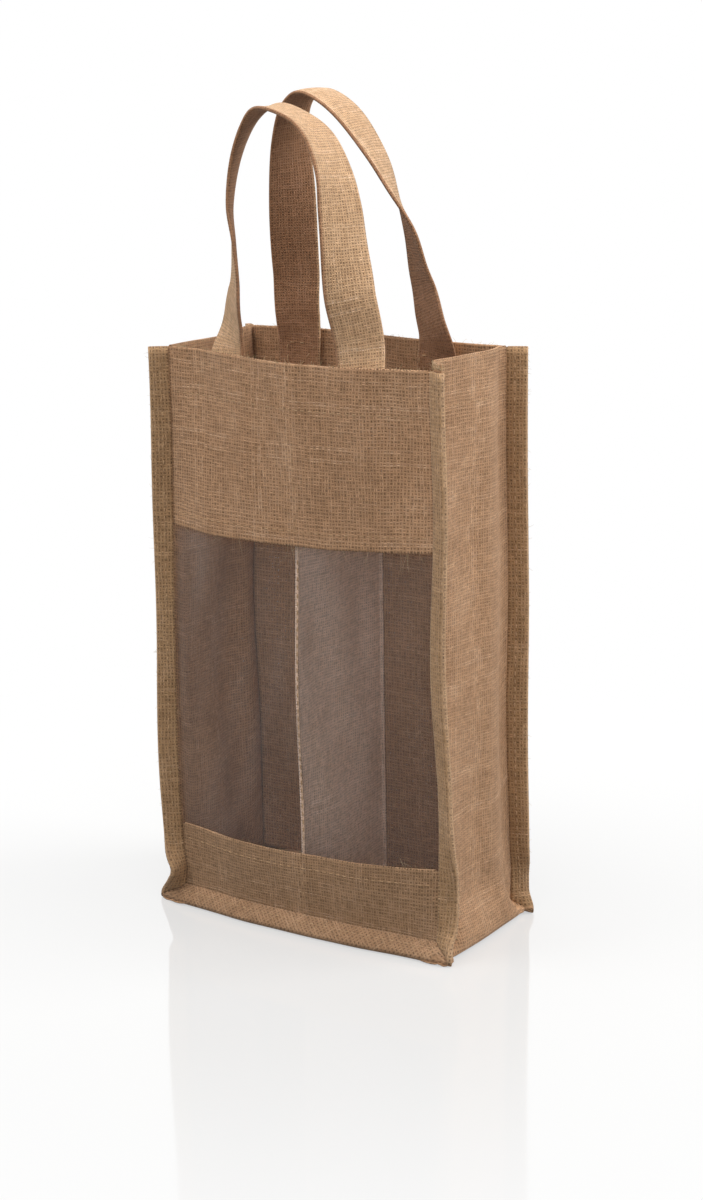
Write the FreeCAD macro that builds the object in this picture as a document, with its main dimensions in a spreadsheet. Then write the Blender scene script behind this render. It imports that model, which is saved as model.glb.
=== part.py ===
# Jute carrier for two bottles: cloth panels, clear window, divider, bound seams and two strap handles.
# Origin on the floor under the middle of the base, +X to the right, -Y to the front, +Z up, millimetres.
import FreeCAD, Part
import math
import os

import Sketcher

SIZES = [
    ("pocket_width", 200, "clear width between the side walls"),
    ("pocket_depth", 88, "clear depth between the front and back corner lines"),
    ("bag_height", 366, "floor to rim"),
    ("front_bow", 8, "how far the front panel bulges past its corner lines"),
    ("back_bow", 3, "how far the back panel bulges past its corner lines"),
    ("cloth", 0.8, "thickness of one layer of jute"),
    ("film", 0.3, "thickness of the window film"),
    ("layer_gap", 0.1, "clearance between layers that are sewn together"),
    ("hem_height", 32, "depth of the turned-in rim"),
    ("hem_relief", 6, "distance the turned-in rim stays from each corner"),
    ("window_bottom", 50, "floor to the lower edge of the window"),
    ("window_top", 250, "floor to the upper edge of the window"),
    ("window_fold", 12, "depth of the turned edge at the window"),
    ("film_overlap", 10, "how far the film runs behind the cloth"),
    ("divider_top", 318, "floor to the top of the divider"),
    ("divider_tab", 7, "width of the divider's sewn tabs"),
    ("divider_lift", 0.4, "clearance under the divider"),
    ("flange_angle", 45, "angle of the corner flanges to the front, in degrees"),
    ("lip", 12.5, "length of the cloth lips inside the seam bindings"),
    ("binding_start", 1, "distance of a binding's edge from the corner line"),
    ("flange_lift", 0.3, "clearance of the base flanges over the floor"),
    ("mitre_gap", 0.3, "half of the gap between bindings that meet at a lower corner"),
    ("lip_trim", 1, "how far the lips stay from the mitre at a lower corner"),
    ("strap_width", 32, "width of the handle strap"),
    ("strap_thickness", 2, "thickness of the handle strap"),
    ("strap_spacing", 100, "distance between the two legs of a handle"),
    ("strap_tail", 40, "length of strap sewn below the rim"),
    ("fold_height", 8, "height of a handle's fold line above the rim"),
    ("fold_gap", 0.3, "clearance between a loop and its sewn ends"),
    ("fold_out", 145, "how far a loop can fold outward from upright, in degrees"),
    ("front_rise", 138, "fold line to the top of the front loop"),
    ("back_rise", 147, "fold line to the top of the back loop"),
    ("front_lean", 4, "inward lean of the front loop, in degrees"),
    ("back_lean", 8, "inward lean of the back loop, in degrees"),
    ("loop_shift", 14, "how far the top of each loop sits to the left"),
    ("thread_width", 0.8, "width of a row of stitches"),
    ("thread_height", 0.3, "height of a row of stitches over the cloth"),
    ("stitch_inset", 4, "distance of a row of stitches from the edge it holds"),
]
LOOP_SQUARENESS = 2.4
LOOP_SECTIONS = 32
# Angles, in degrees, of the sections that round off the ends of a loop.
ROUND_END = (80, 60, 30)
SECTION_CORNERS = ((1, 1), (-1, 1), (-1, -1), (1, -1))
FRONT, BACK = -1, 1
LEFT, RIGHT = -1, 1
SIDES = ((FRONT, "front"), (BACK, "back"))
HANDS = ((LEFT, "left"), (RIGHT, "right"))

doc = FreeCAD.newDocument("BottleCarrier")
sheet = doc.addObject("Spreadsheet::Sheet", "Sizes")
for row, (alias, number, meaning) in enumerate(SIZES, start=1):
    sheet.set(f"A{row}", meaning)
    sheet.set(f"B{row}", str(number))
    sheet.setAlias(f"B{row}", alias)
doc.recompute()


class Size:
    """A number that carries the sheet expression it comes from."""

    def __init__(self, text, value):
        self.text = text
        self.value = value

    @staticmethod
    def of(number):
        return number if isinstance(number, Size) else Size(f"({float(number)})", float(number))

    def __add__(self, other):
        other = Size.of(other)
        return Size(f"({self.text} + {other.text})", self.value + other.value)

    def __sub__(self, other):
        other = Size.of(other)
        return Size(f"({self.text} - {other.text})", self.value - other.value)

    def __mul__(self, other):
        other = Size.of(other)
        return Size(f"({self.text} * {other.text})", self.value * other.value)

    def __truediv__(self, other):
        other = Size.of(other)
        return Size(f"({self.text} / {other.text})", self.value / other.value)

    def root(self):
        return Size(f"sqrt({self.text})", math.sqrt(self.value))

    def sine(self):
        return Size(f"sin({self.text} * 1 deg)", math.sin(math.radians(self.value)))

    def cosine(self):
        return Size(f"cos({self.text} * 1 deg)", math.cos(math.radians(self.value)))

    def arcsine(self):
        """The angle in degrees whose sine this is."""
        return Size(f"(asin({self.text}) / 1 deg)", math.degrees(math.asin(self.value)))


def size(alias):
    return Size(f"Sizes.{alias}", float(sheet.get(alias)))


ZERO = Size.of(0)
cloth = size("cloth")
film = size("film")
gap = size("layer_gap")
lip = size("lip")
height = size("bag_height")
half_width = size("pocket_width") / 2
half_depth = size("pocket_depth") / 2
flange_sin = size("flange_angle").sine()
flange_cos = size("flange_angle").cosine()
binding_half = cloth * 2 + gap
binding_end = lip + gap + cloth
# Height of the base seam: the base flanges slope down from it and end just over the floor.
seam_rise = size("flange_lift") + binding_end * flange_cos + binding_half * flange_sin
# Room that the cutting tools at the lower corners take, more than a flange needs.
cut_room = binding_end + binding_half * 2
strap_half = size("strap_width") / 2
strap_thick = size("strap_thickness")
fold_line = height + size("fold_height")
fold_clear = strap_thick / 2 + size("fold_gap")
thread_wide = size("thread_width")
thread_high = size("thread_height")
inset = size("stitch_inset")


class Face:
    """The front or the back of the bag: an arc in plan through both corner lines."""

    def __init__(self, side, bow, rise, lean):
        self.side = side
        self.bow = bow
        self.radius = (half_width * half_width + bow * bow) / (bow * 2)
        self.centre = (half_depth + bow - self.radius) * side
        self.rise = rise
        self.lean = lean
        hem_radius = self.radius - cloth
        self.strap_face = (hem_radius * hem_radius - strap_half * strap_half).root() - gap
        self.strap_sin = size("strap_spacing") / 2 / self.strap_face
        self.strap_cos = (Size.of(1) - self.strap_sin * self.strap_sin).root()
        self.fold_y = self.centre + (self.strap_face - strap_thick / 2) * self.strap_cos * side


FACES = {
    FRONT: Face(FRONT, size("front_bow"), size("front_rise"), size("front_lean")),
    BACK: Face(BACK, size("back_bow"), size("back_rise"), size("back_lean")),
}


def new_body(label):
    body = doc.addObject("PartDesign::Body", label)
    body.Label = label
    return body


def new_sketch(body, plane, base=(ZERO, ZERO, ZERO), axis=None, angle=ZERO):
    """A sketch on one of the body's own planes, moved by base and turned about axis."""
    sketch = body.newObject("Sketcher::SketchObject", body.Label + "_sketch")
    planes = {item.Role: item for item in body.Origin.OriginFeatures}
    sketch.AttachmentSupport = (planes[plane], [""])
    sketch.MapMode = "FlatFace"
    turn = FreeCAD.Rotation()
    if axis:
        turn = FreeCAD.Rotation(FreeCAD.Vector(*axis), angle.value)
    place = FreeCAD.Vector(*[part.value for part in base])
    sketch.AttachmentOffset = FreeCAD.Placement(place, turn)
    for letter, part in zip("xyz", base):
        sketch.setExpression(f"AttachmentOffset.Base.{letter}", part.text)
    if axis:
        sketch.setExpression("AttachmentOffset.Rotation.Angle", f"{angle.text} * 1 deg")
    return sketch


def draw(sketch, corners):
    """Adds a closed outline whose corners are bound to the sheet."""
    first = sketch.GeometryCount
    count = len(corners)
    points = [FreeCAD.Vector(x.value, y.value, 0) for x, y in corners]
    for start, end in zip(points, points[1:] + points[:1]):
        sketch.addGeometry(Part.LineSegment(start, end), False)
    for k in range(count):
        sketch.addConstraint(Sketcher.Constraint("Coincident", first + k, 2, first + (k + 1) % count, 1))
    for k, corner in enumerate(corners):
        for kind, part in zip(("DistanceX", "DistanceY"), corner):
            index = sketch.addConstraint(Sketcher.Constraint(kind, -1, 1, first + k, 1, part.value))
            sketch.setExpression(f"Constraints[{index}]", part.text)


def rectangle(low_x, high_x, low_y, high_y):
    return [(low_x, low_y), (high_x, low_y), (high_x, high_y), (low_x, high_y)]


def pad(body, sketch, length, reverse=False, both=False):
    feature = body.newObject("PartDesign::Pad", body.Label + "_pad")
    feature.Profile = sketch
    feature.Reversed = reverse
    feature.SideType = "Symmetric" if both else "One side"
    feature.setExpression("Length", length.text)
    return feature


def pad_up(body, corners, low, high):
    """Raises a plan outline from one height to another."""
    sketch = new_sketch(body, "XY_Plane", (ZERO, ZERO, low))
    draw(sketch, corners)
    pad(body, sketch, high - low)


def turn_band(body, face, corners, reach):
    """Turns a section, given as radius and height, about the arc's centre as far as x = +-reach."""
    sketch = new_sketch(body, "YZ_Plane", (face.centre, ZERO, ZERO))
    draw(sketch, [(radius * face.side, level) for radius, level in corners])
    feature = body.newObject("PartDesign::Revolution", body.Label + "_turn")
    feature.Profile = sketch
    feature.ReferenceAxis = (sketch, ["V_Axis"])
    feature.Midplane = True
    feature.setExpression("Angle", f"{((reach / face.radius).arcsine() * 2).text} * 1 deg")


def cut_through(body, plane, corners):
    """Cuts an outline on an upright plane right through the body."""
    sketch = new_sketch(body, plane)
    draw(sketch, corners)
    feature = body.newObject("PartDesign::Pocket", body.Label + "_cut")
    feature.Profile = sketch
    feature.SideType = "Symmetric"
    feature.Type = "ThroughAll"


def cut_mitre(body, hand, keep_upright, clearance):
    """Cuts a lower corner along the plane where the upright and the base flange meet."""
    shift = clearance if keep_upright else clearance * -1
    line = half_width + seam_rise + shift
    near = half_width - cut_room
    far = half_width + cut_room
    third = (near, line - far) if keep_upright else (far, line - near)
    corners = [(near, line - near), (far, line - far), third]
    cut_through(body, "XZ_Plane", [(x * hand, level) for x, level in corners])


def add_lip(body, face, hand, panel_side, thickness, bottom, top, mitred):
    """Adds one cloth lip of an upright corner seam, on the panel's or the gusset's side of it."""
    base = (half_width * hand, ZERO, half_depth * -face.side)
    sketch = new_sketch(body, "XZ_Plane", base, (0, face.side * hand, 0), size("flange_angle"))
    outer_bottom = bottom - lip * flange_cos if mitred else bottom
    corners = [(ZERO, bottom), (lip, outer_bottom), (lip, top), (ZERO, top)]
    draw(sketch, [(along * hand, level) for along, level in corners])
    pad(body, sketch, thickness, reverse=(face.side == BACK) == panel_side)


def seam_point(face, along, across):
    """Radius and height of a point of the base flange, measured from the seam."""
    radius = face.radius + along * flange_sin + across * flange_cos
    return radius, seam_rise - along * flange_cos + across * flange_sin


def seam_section(face, outline):
    return [seam_point(face, along, across) for along, across in outline]


def binding_outline():
    """The U section of a binding: distance along the flange and across it."""
    start = size("binding_start")
    slot_half = cloth + gap
    slot_end = lip + gap
    return [
        (start, binding_half * -1), (binding_end, binding_half * -1), (binding_end, binding_half),
        (start, binding_half), (start, slot_half), (slot_end, slot_half),
        (slot_end, slot_half * -1), (start, slot_half * -1),
    ]


def stitch_outline(side):
    """The section of a row of stitches on one outer face of a binding."""
    start = size("binding_start") + inset / 2
    return rectangle(start, start + thread_wide, binding_half * side, (binding_half + thread_high) * side)


def upright_sketch(body, face, hand, low):
    """A plan sketch at a corner, its x axis along the flange."""
    angle = size("flange_angle") if hand == RIGHT else Size.of(180) - size("flange_angle")
    corner = (half_width * hand, half_depth * face.side, low)
    return new_sketch(body, "XY_Plane", corner, (0, 0, face.side), angle)


def band(face, inner, outer, low, high):
    """A rectangular section between two distances from the panel's inner face."""
    return rectangle(face.radius + inner, face.radius + outer, low, high)


def add_hem(body, face, low, high):
    turn_band(body, face, band(face, cloth * -1, ZERO, low, high), half_width - size("hem_relief"))


def add_base_lip(body, face):
    """The panel's lip in the base seam, cut at both lower corners."""
    outline = rectangle(ZERO, lip, gap, gap + cloth)
    turn_band(body, face, seam_section(face, outline), half_width + binding_end)
    for hand, _ in HANDS:
        cut_mitre(body, hand, False, size("lip_trim"))


def make_upper_panel():
    face = FACES[FRONT]
    low = size("window_top")
    body = new_body("front_upper_panel")
    turn_band(body, face, band(face, ZERO, cloth, low, height), half_width)
    add_hem(body, face, height - size("hem_height"), height)
    add_hem(body, face, low, low + size("window_fold"))
    for hand, _ in HANDS:
        add_lip(body, face, hand, True, cloth, low, height, False)
    return body


def make_lower_panel():
    face = FACES[FRONT]
    high = size("window_bottom")
    body = new_body("front_lower_panel")
    add_base_lip(body, face)
    turn_band(body, face, band(face, ZERO, cloth, seam_rise + gap, high), half_width)
    add_hem(body, face, high - size("window_fold"), high)
    for hand, _ in HANDS:
        add_lip(body, face, hand, True, cloth, seam_rise + size("lip_trim"), high, True)
    return body


def make_back_panel():
    face = FACES[BACK]
    body = new_body("back_panel")
    add_base_lip(body, face)
    turn_band(body, face, band(face, ZERO, cloth, seam_rise + gap, height), half_width)
    add_hem(body, face, height - size("hem_height"), height)
    for hand, _ in HANDS:
        add_lip(body, face, hand, True, cloth, seam_rise + size("lip_trim"), height, True)
    return body


def make_window_film():
    """The film lies behind the turned edges; between them its sides run into the corner seams."""
    face = FACES[FRONT]
    low = size("window_bottom")
    high = size("window_top")
    body = new_body("window_film")
    outer = (cloth + gap) * -1
    overlap = size("film_overlap")
    turn_band(body, face, band(face, outer - film, outer, low - overlap, high + overlap), half_width - film)
    for hand, _ in HANDS:
        return_strip = rectangle(
            (half_width - film * 2) * hand, half_width * hand,
            half_depth * -1 - film, half_depth * -1 + cloth + gap + film * 2)
        pad_up(body, return_strip, low + gap, high - gap)
        add_lip(body, face, hand, True, film, low + gap, high - gap, False)
    return body


def make_gusset():
    """One strip for both sides and the base; its base rises to the front and back seams."""
    body = new_body("gusset")
    wall = half_width + cloth
    diagonal = cloth * math.sqrt(2)
    plate_half = half_depth - seam_rise
    pad_up(body, rectangle(wall * -1, wall, plate_half * -1, plate_half), ZERO, cloth)
    for face in FACES.values():
        foot = face.radius - seam_rise
        turn_band(body, face, rectangle(foot - face.bow - cloth, foot + diagonal, ZERO, cloth), half_width)
        margin = [
            (face.radius, seam_rise), (face.radius, seam_rise - diagonal),
            (foot + diagonal, ZERO), (foot, ZERO)]
        turn_band(body, face, margin, half_width + cloth * 4)
    for hand, _ in HANDS:
        trim = rectangle(wall * hand, (wall + cut_room) * hand, seam_rise * -1, seam_rise * 2)
        cut_through(body, "XZ_Plane", trim)
    for face in FACES.values():
        outline = rectangle(ZERO, lip, cloth * -1, ZERO)
        turn_band(body, face, seam_section(face, outline), half_width + binding_end)
    for hand, _ in HANDS:
        cut_mitre(body, hand, False, size("lip_trim"))
    for hand, _ in HANDS:
        low = half_width if hand == RIGHT else wall * -1
        sketch = new_sketch(body, "YZ_Plane", (ZERO, ZERO, low))
        draw(sketch, [
            (half_depth * -1, height), (half_depth * -1, seam_rise), (plate_half * -1, ZERO),
            (plate_half, ZERO), (half_depth, seam_rise), (half_depth, height)])
        pad(body, sketch, cloth)
        hem_half = half_depth - size("hem_relief")
        hem = rectangle((half_width - cloth) * hand, half_width * hand, hem_half * -1, hem_half)
        pad_up(body, hem, height - size("hem_height"), height)
        for face in FACES.values():
            add_lip(body, face, hand, False, cloth, seam_rise + size("lip_trim"), height, True)
    return body


def make_divider():
    """A cloth wall across the middle, with one tab behind the film and one on the back panel."""
    body = new_body("divider")
    front = (half_depth + size("front_bow")) * -1 + cloth + film + gap * 2
    back = half_depth + size("back_bow") - gap
    lift = size("divider_lift")
    top = size("divider_top")
    slope = seam_rise - cloth
    sketch = new_sketch(body, "YZ_Plane")
    draw(sketch, [
        (front, top), (front, seam_rise + lift), (front + slope, cloth + lift),
        (back - slope, cloth + lift), (back, seam_rise + lift), (back, top)])
    pad(body, sketch, cloth, both=True)
    tab = size("divider_tab")
    for near, far in ((front, front + cloth), (back - cloth, back)):
        pad_up(body, rectangle(cloth * -0.5, tab, near, far), seam_rise + lift, top)
    return body


def make_upright_binding(side, hand, label):
    face = FACES[side]
    body = new_body(label)
    sketch = upright_sketch(body, face, hand, ZERO)
    draw(sketch, binding_outline())
    pad(body, sketch, height)
    cut_mitre(body, hand, True, size("mitre_gap"))
    return body


def make_base_binding(side, label):
    face = FACES[side]
    body = new_body(label)
    turn_band(body, face, seam_section(face, binding_outline()), half_width + binding_end)
    for hand, _ in HANDS:
        cut_mitre(body, hand, False, size("mitre_gap"))
    return body


def strap_sketch(body, face, hand, plane, low, depth):
    """A sketch at a sewn strap end, turned with the panel there; depth is measured into the bag."""
    radius = face.strap_face - depth
    across = radius * face.strap_sin * hand
    away = face.centre + radius * face.strap_cos * face.side
    turn = face.strap_sin.arcsine()
    if plane == "XY_Plane":
        return new_sketch(body, plane, (across, away, low), (0, 0, -face.side * hand), turn)
    return new_sketch(body, plane, (across, low, away * -1), (0, -face.side * hand, 0), turn)


def cut_bevel(body, face):
    """Bevels the top of a sewn strap end on its outer side, so that the loop can fold out over it."""
    sine = size("fold_out").sine()
    cosine = size("fold_out").cosine()
    room = size("fold_height")
    away = cosine * fold_clear
    level = fold_line - sine * fold_clear
    inner = face.fold_y + (away - sine * room) * face.side
    outer = face.fold_y + (away + sine * room) * face.side
    upper = level - cosine * room
    lower = level + cosine * room
    cut_through(body, "YZ_Plane", [(inner, upper), (outer, lower), (outer, upper)])


def make_strap_end(side, hand, label):
    face = FACES[side]
    body = new_body(label)
    low = height - size("strap_tail")
    high = fold_line - fold_clear
    sketch = strap_sketch(body, face, hand, "XY_Plane", low, ZERO)
    draw(sketch, rectangle(strap_half * -1, strap_half, ZERO, strap_thick * -side))
    pad(body, sketch, high - low)
    cut_bevel(body, face)
    return body


def loop_point(face, turn):
    """Centre of the strap and its twist at an angle from 0 at the right leg to pi at the left leg."""
    reach = size("strap_spacing").value / 2
    power = 2 / LOOP_SQUARENESS
    upward = round(math.sin(turn), 9) ** power
    sideways = math.copysign(abs(math.cos(turn)) ** power, math.cos(turn))
    # The strap starts flat against its panel and has turned on edge at the top.
    twist = math.radians(90) * upward * upward * (3 - 2 * upward)
    x = reach * sideways - size("loop_shift").value * upward
    return x, upward * face.rise.value, twist


def loop_stations(face):
    """Centre, twist and half thickness of each section; the ends taper round on the fold line."""
    thin = strap_thick.value / 2
    reach = size("strap_spacing").value / 2
    steps = [0.5 - 0.5 * math.cos(math.pi * k / LOOP_SECTIONS) for k in range(LOOP_SECTIONS + 1)]
    arch = [loop_point(face, math.pi * step) + (thin,) for step in steps]
    tips = [(-thin * math.sin(angle), 0, thin * math.cos(angle)) for angle in map(math.radians, ROUND_END)]
    right = [(reach,) + tip for tip in tips]
    left = [(-reach,) + tip for tip in reversed(tips)]
    return right + arch + left


def make_loop(side, label):
    """A strap loop: flat sections lofted along the arch, with a round end on the fold line at each leg."""
    face = FACES[side]
    half = strap_half.value
    stations = loop_stations(face)
    last = len(stations) - 1
    sections = []
    for k, (x, z, twist, thin) in enumerate(stations):
        before = stations[max(k - 1, 0)]
        after = stations[min(k + 1, last)]
        run = FreeCAD.Vector(after[0] - before[0], 0, after[1] - before[1])
        if z <= 0:
            run = FreeCAD.Vector(0, 0, x)
        run.normalize()
        flat = FreeCAD.Vector(-run.z, 0, run.x)
        wide = flat * math.cos(twist) + FreeCAD.Vector(0, side, 0) * math.sin(twist)
        deep = run.cross(wide)
        middle = FreeCAD.Vector(x, 0, z)
        ring = [middle + wide * (half * a) + deep * (thin * b) for a, b in SECTION_CORNERS]
        sections.append(Part.makePolygon(ring + ring[:1]))
    shape = Part.makeLoft(sections, True, True)
    shape.rotate(FreeCAD.Vector(), FreeCAD.Vector(1, 0, 0), side * face.lean.value)
    loop = doc.addObject("Part::Feature", label)
    loop.Label = label
    loop.Shape = shape
    loop.Placement.Base = FreeCAD.Vector(0, face.fold_y.value, fold_line.value)
    return loop


def make_rim_stitching():
    body = new_body("rim_stitching")
    low = height - size("hem_height") + inset
    high = low + thread_wide
    for face in FACES.values():
        row = band(face, cloth, cloth + thread_high, low, high)
        turn_band(body, face, row, half_width - size("hem_relief"))
    reach = half_depth - size("hem_relief")
    wall = half_width + cloth
    for hand, _ in HANDS:
        row = rectangle(wall * hand, (wall + thread_high) * hand, reach * -1, reach)
        pad_up(body, row, low, high)
    return body


def make_window_stitching():
    body = new_body("window_stitching")
    face = FACES[FRONT]
    for low in (size("window_top") + inset, size("window_bottom") - inset - thread_wide):
        row = band(face, cloth, cloth + thread_high, low, low + thread_wide)
        turn_band(body, face, row, half_width - size("hem_relief"))
    return body


def make_seam_stitching(side, label):
    """Rows along both upright bindings and the base binding of one face."""
    face = FACES[side]
    body = new_body(label)
    clear = seam_rise + inset
    turn_band(body, face, seam_section(face, stitch_outline(1)), half_width - inset)
    for hand, _ in HANDS:
        sketch = upright_sketch(body, face, hand, clear)
        panel_side = 1 if (hand == RIGHT) == (side == BACK) else -1
        draw(sketch, stitch_outline(panel_side))
        pad(body, sketch, height - inset - clear)
    return body


def make_divider_stitching():
    """Rows that hold the divider's tabs, seen on the front panels and on the back panel."""
    body = new_body("divider_stitching")
    middle = size("divider_tab") / 2
    row_x = (middle - thread_wide / 2, middle + thread_wide / 2)
    front = (half_depth + size("front_bow") + cloth) * -1
    back = half_depth + size("back_bow") + cloth
    clear = seam_rise + inset
    top = size("divider_top")
    upper_low = size("window_top") + inset * 2
    lower_high = size("window_bottom") - inset * 2
    pad_up(body, rectangle(*row_x, front - thread_high, front), upper_low, top)
    pad_up(body, rectangle(*row_x, front - thread_high, front), clear, lower_high)
    pad_up(body, rectangle(*row_x, back, back + thread_high), clear, top)
    return body


def make_handle_stitching(side, label):
    """A box of stitches on the inner face of each sewn strap end."""
    face = FACES[side]
    body = new_body(label)
    low = height - size("strap_tail") + inset
    high = height - inset
    wide = strap_half - inset
    for hand, _ in HANDS:
        sketch = strap_sketch(body, face, hand, "XZ_Plane", ZERO, strap_thick)
        draw(sketch, rectangle(wide * -1, wide, low, high))
        inner = wide - thread_wide
        draw(sketch, rectangle(inner * -1, inner, low + thread_wide, high - thread_wide))
        pad(body, sketch, thread_high, reverse=side == FRONT)
    return body


nodes = [make_upper_panel(), make_window_film(), make_lower_panel(), make_back_panel()]
nodes += [make_gusset(), make_divider()]
for side_value, side_name in SIDES:
    for hand_value, hand_name in HANDS:
        nodes.append(make_upright_binding(side_value, hand_value, f"{side_name}_{hand_name}_binding"))
        nodes.append(make_strap_end(side_value, hand_value, f"{side_name}_handle_{hand_name}_end"))
    nodes.append(make_base_binding(side_value, f"{side_name}_base_binding"))
    nodes.append(make_loop(side_value, f"{side_name}_handle_loop"))
    nodes.append(make_seam_stitching(side_value, f"{side_name}_seam_stitching"))
    nodes.append(make_handle_stitching(side_value, f"{side_name}_handle_stitching"))
nodes += [make_rim_stitching(), make_window_stitching(), make_divider_stitching()]
doc.recompute()

for item in doc.Objects:
    if "Invalid" in item.State or "Error" in item.State:
        raise RuntimeError(f"{item.Label} failed: {item.State}")
for node in nodes:
    if node.Shape.isNull() or not node.Shape.isValid() or not node.Shape.Solids:
        raise RuntimeError(f"{node.Label} has no valid shape")

for key, face_name in SIDES:
    print(f"{face_name} fold line: y {FACES[key].fold_y.value:.3f}, z {fold_line.value:.3f}")
print(f"base seam height: {seam_rise.value:.3f}")

os.makedirs("parts", exist_ok=True)
for node in nodes:
    node.Shape.exportStep(f"parts/{node.Label}.step")
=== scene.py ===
"""A jute carrier with two pockets, a window and two handles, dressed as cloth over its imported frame.

Lengths in this file are millimetres until a mesh is made. The bag stands on the floor with its window to -Y.
"""

import logging
import math
from dataclasses import dataclass, field
from enum import Enum

import bpy
import numpy as np
from mathutils import Matrix, Vector


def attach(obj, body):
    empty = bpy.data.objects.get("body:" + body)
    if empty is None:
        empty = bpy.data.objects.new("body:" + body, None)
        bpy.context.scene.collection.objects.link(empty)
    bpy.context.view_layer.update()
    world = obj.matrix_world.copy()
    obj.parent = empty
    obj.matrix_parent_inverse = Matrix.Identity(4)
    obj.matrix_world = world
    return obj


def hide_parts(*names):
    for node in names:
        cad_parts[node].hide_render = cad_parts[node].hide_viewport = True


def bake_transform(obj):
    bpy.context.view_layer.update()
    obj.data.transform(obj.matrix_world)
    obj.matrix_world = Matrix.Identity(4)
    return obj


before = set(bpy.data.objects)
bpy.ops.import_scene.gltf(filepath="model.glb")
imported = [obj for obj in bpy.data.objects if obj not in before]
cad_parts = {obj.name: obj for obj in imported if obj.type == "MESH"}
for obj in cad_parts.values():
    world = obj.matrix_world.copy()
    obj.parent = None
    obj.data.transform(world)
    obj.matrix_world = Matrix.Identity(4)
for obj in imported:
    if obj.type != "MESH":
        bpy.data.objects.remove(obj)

MM = 0.001
TURN = 2.0 * np.pi
WHITE = (1.0, 1.0, 1.0, 1.0)
LOG = logging.getLogger("carrier")
Object, Material = bpy.types.Object, bpy.types.Material
Tree, Socket = bpy.types.NodeTree, bpy.types.NodeSocket
Place, Row = tuple[float, float], tuple[np.ndarray, np.ndarray]


class Face(Enum):
    """The bag's two broad walls, by the sign of their Y."""

    FRONT = -1
    BACK = 1


class Hand(Enum):
    """The bag's two ends, by the sign of their X."""

    LEFT = -1
    RIGHT = 1


class Grain(Enum):
    """How a strip was cut: along the yarns, or across them on the bias, in degrees."""

    SQUARE = 0.0
    BIAS = 45.0


def ease(value: np.ndarray) -> np.ndarray:
    """Smooth step from 0 to 1: 3t² - 2t³, with t held between 0 and 1."""
    held = np.clip(value, 0.0, 1.0)
    return held * held * (3.0 - 2.0 * held)


def hump(value: np.ndarray, middle: float, spread: float) -> np.ndarray:
    """Bell curve of height 1 round a middle: e to the minus square of the distance in spreads."""
    return np.exp(-(((value - middle) / spread) ** 2))


def fold(distance: np.ndarray, radius: float) -> tuple[np.ndarray, np.ndarray]:
    """How far a cloth has gone past a fold line, with the fold itself rounded.

    The value is half of the distance plus the root of its square and the radius' square, which is 0 well
    before the line and the distance well after it.

    Args:
        distance: signed distance past the line.
        radius: how soft the fold is.

    Returns:
        The distance gone past the line, and the share of the turn made there, from 0 to 1.
    """
    root = np.sqrt(distance * distance + radius * radius)
    return 0.5 * (distance + root), 0.5 * (1.0 + distance / root)


def unit(vectors: np.ndarray) -> np.ndarray:
    """Vectors along the last axis, divided by their lengths."""
    return vectors / np.maximum(np.linalg.norm(vectors, axis=-1, keepdims=True), 1e-9)


def run_along(points: np.ndarray) -> np.ndarray:
    """Length of a polyline from its start to each of its points."""
    return np.concatenate([[0.0], np.cumsum(np.linalg.norm(np.diff(points, axis=0), axis=1))])


def spaced(points: np.ndarray, count: int) -> np.ndarray:
    """Places of equally spaced stations on a polyline, as fractional indices into its points."""
    run = run_along(points)
    return np.interp(np.linspace(0.0, run[-1], count), run, np.arange(len(points)))


def sample(rows: np.ndarray, at: np.ndarray) -> np.ndarray:
    """Rows at fractional indices, each a straight mix of its two neighbours."""
    return np.stack([np.interp(at, np.arange(len(rows)), column) for column in rows.T], axis=-1)


def flat_cut(across: np.ndarray, along: np.ndarray) -> np.ndarray:
    """Grid of places in a flat cut, from its columns' places across and its rows' places along."""
    return np.stack(np.broadcast_arrays(across[None, :], along), axis=-1)


def smooth_curve(stations: np.ndarray, between: int) -> np.ndarray:
    """A smooth curve through stations: cubic pieces whose slope at a station is half the step between neighbours.

    Args:
        stations: rows of any number of values.
        between: points made for each piece.

    Returns:
        Rows along the curve.
    """
    padded = np.concatenate([2.0 * stations[:1] - stations[1:2], stations, 2.0 * stations[-1:] - stations[-2:-1]])
    before, here, there, after = padded[:-3], padded[1:-2], padded[2:-1], padded[3:]
    t = np.linspace(0.0, 1.0, between, endpoint=False)[None, :, None]
    before, here, there, after = (part[:, None, :] for part in (before, here, there, after))
    bend = 2.0 * before - 5.0 * here + 4.0 * there - after + t * (3.0 * (here - there) + after - before)
    pieces = here + 0.5 * t * (there - before + t * bend)
    return np.concatenate([pieces.reshape(-1, stations.shape[1]), stations[-1:]])


@dataclass(frozen=True)
class BagSizes:
    """Sizes of the sewn bag, as its parts are drawn."""

    half_width: float = 100.0
    half_depth: float = 44.0
    height: float = 366.0
    seam_height: float = 10.98
    lip: float = 12.5
    flange_foot: float = 45.0
    cloth: float = 0.8
    film: float = 0.3
    layer: float = 0.95
    seam_gap: float = 0.6
    clear: float = 1.5
    seam_room: float = 4.0
    hem: float = 32.0
    window_bottom: float = 50.0
    window_top: float = 250.0
    window_turn: float = 12.0
    film_overlap: float = 10.0
    divider_top: float = 318.0
    strap_thickness: float = 2.2
    hinge_height: float = 374.0


SIZES = BagSizes()
FOOT = math.radians(SIZES.flange_foot)


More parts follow.
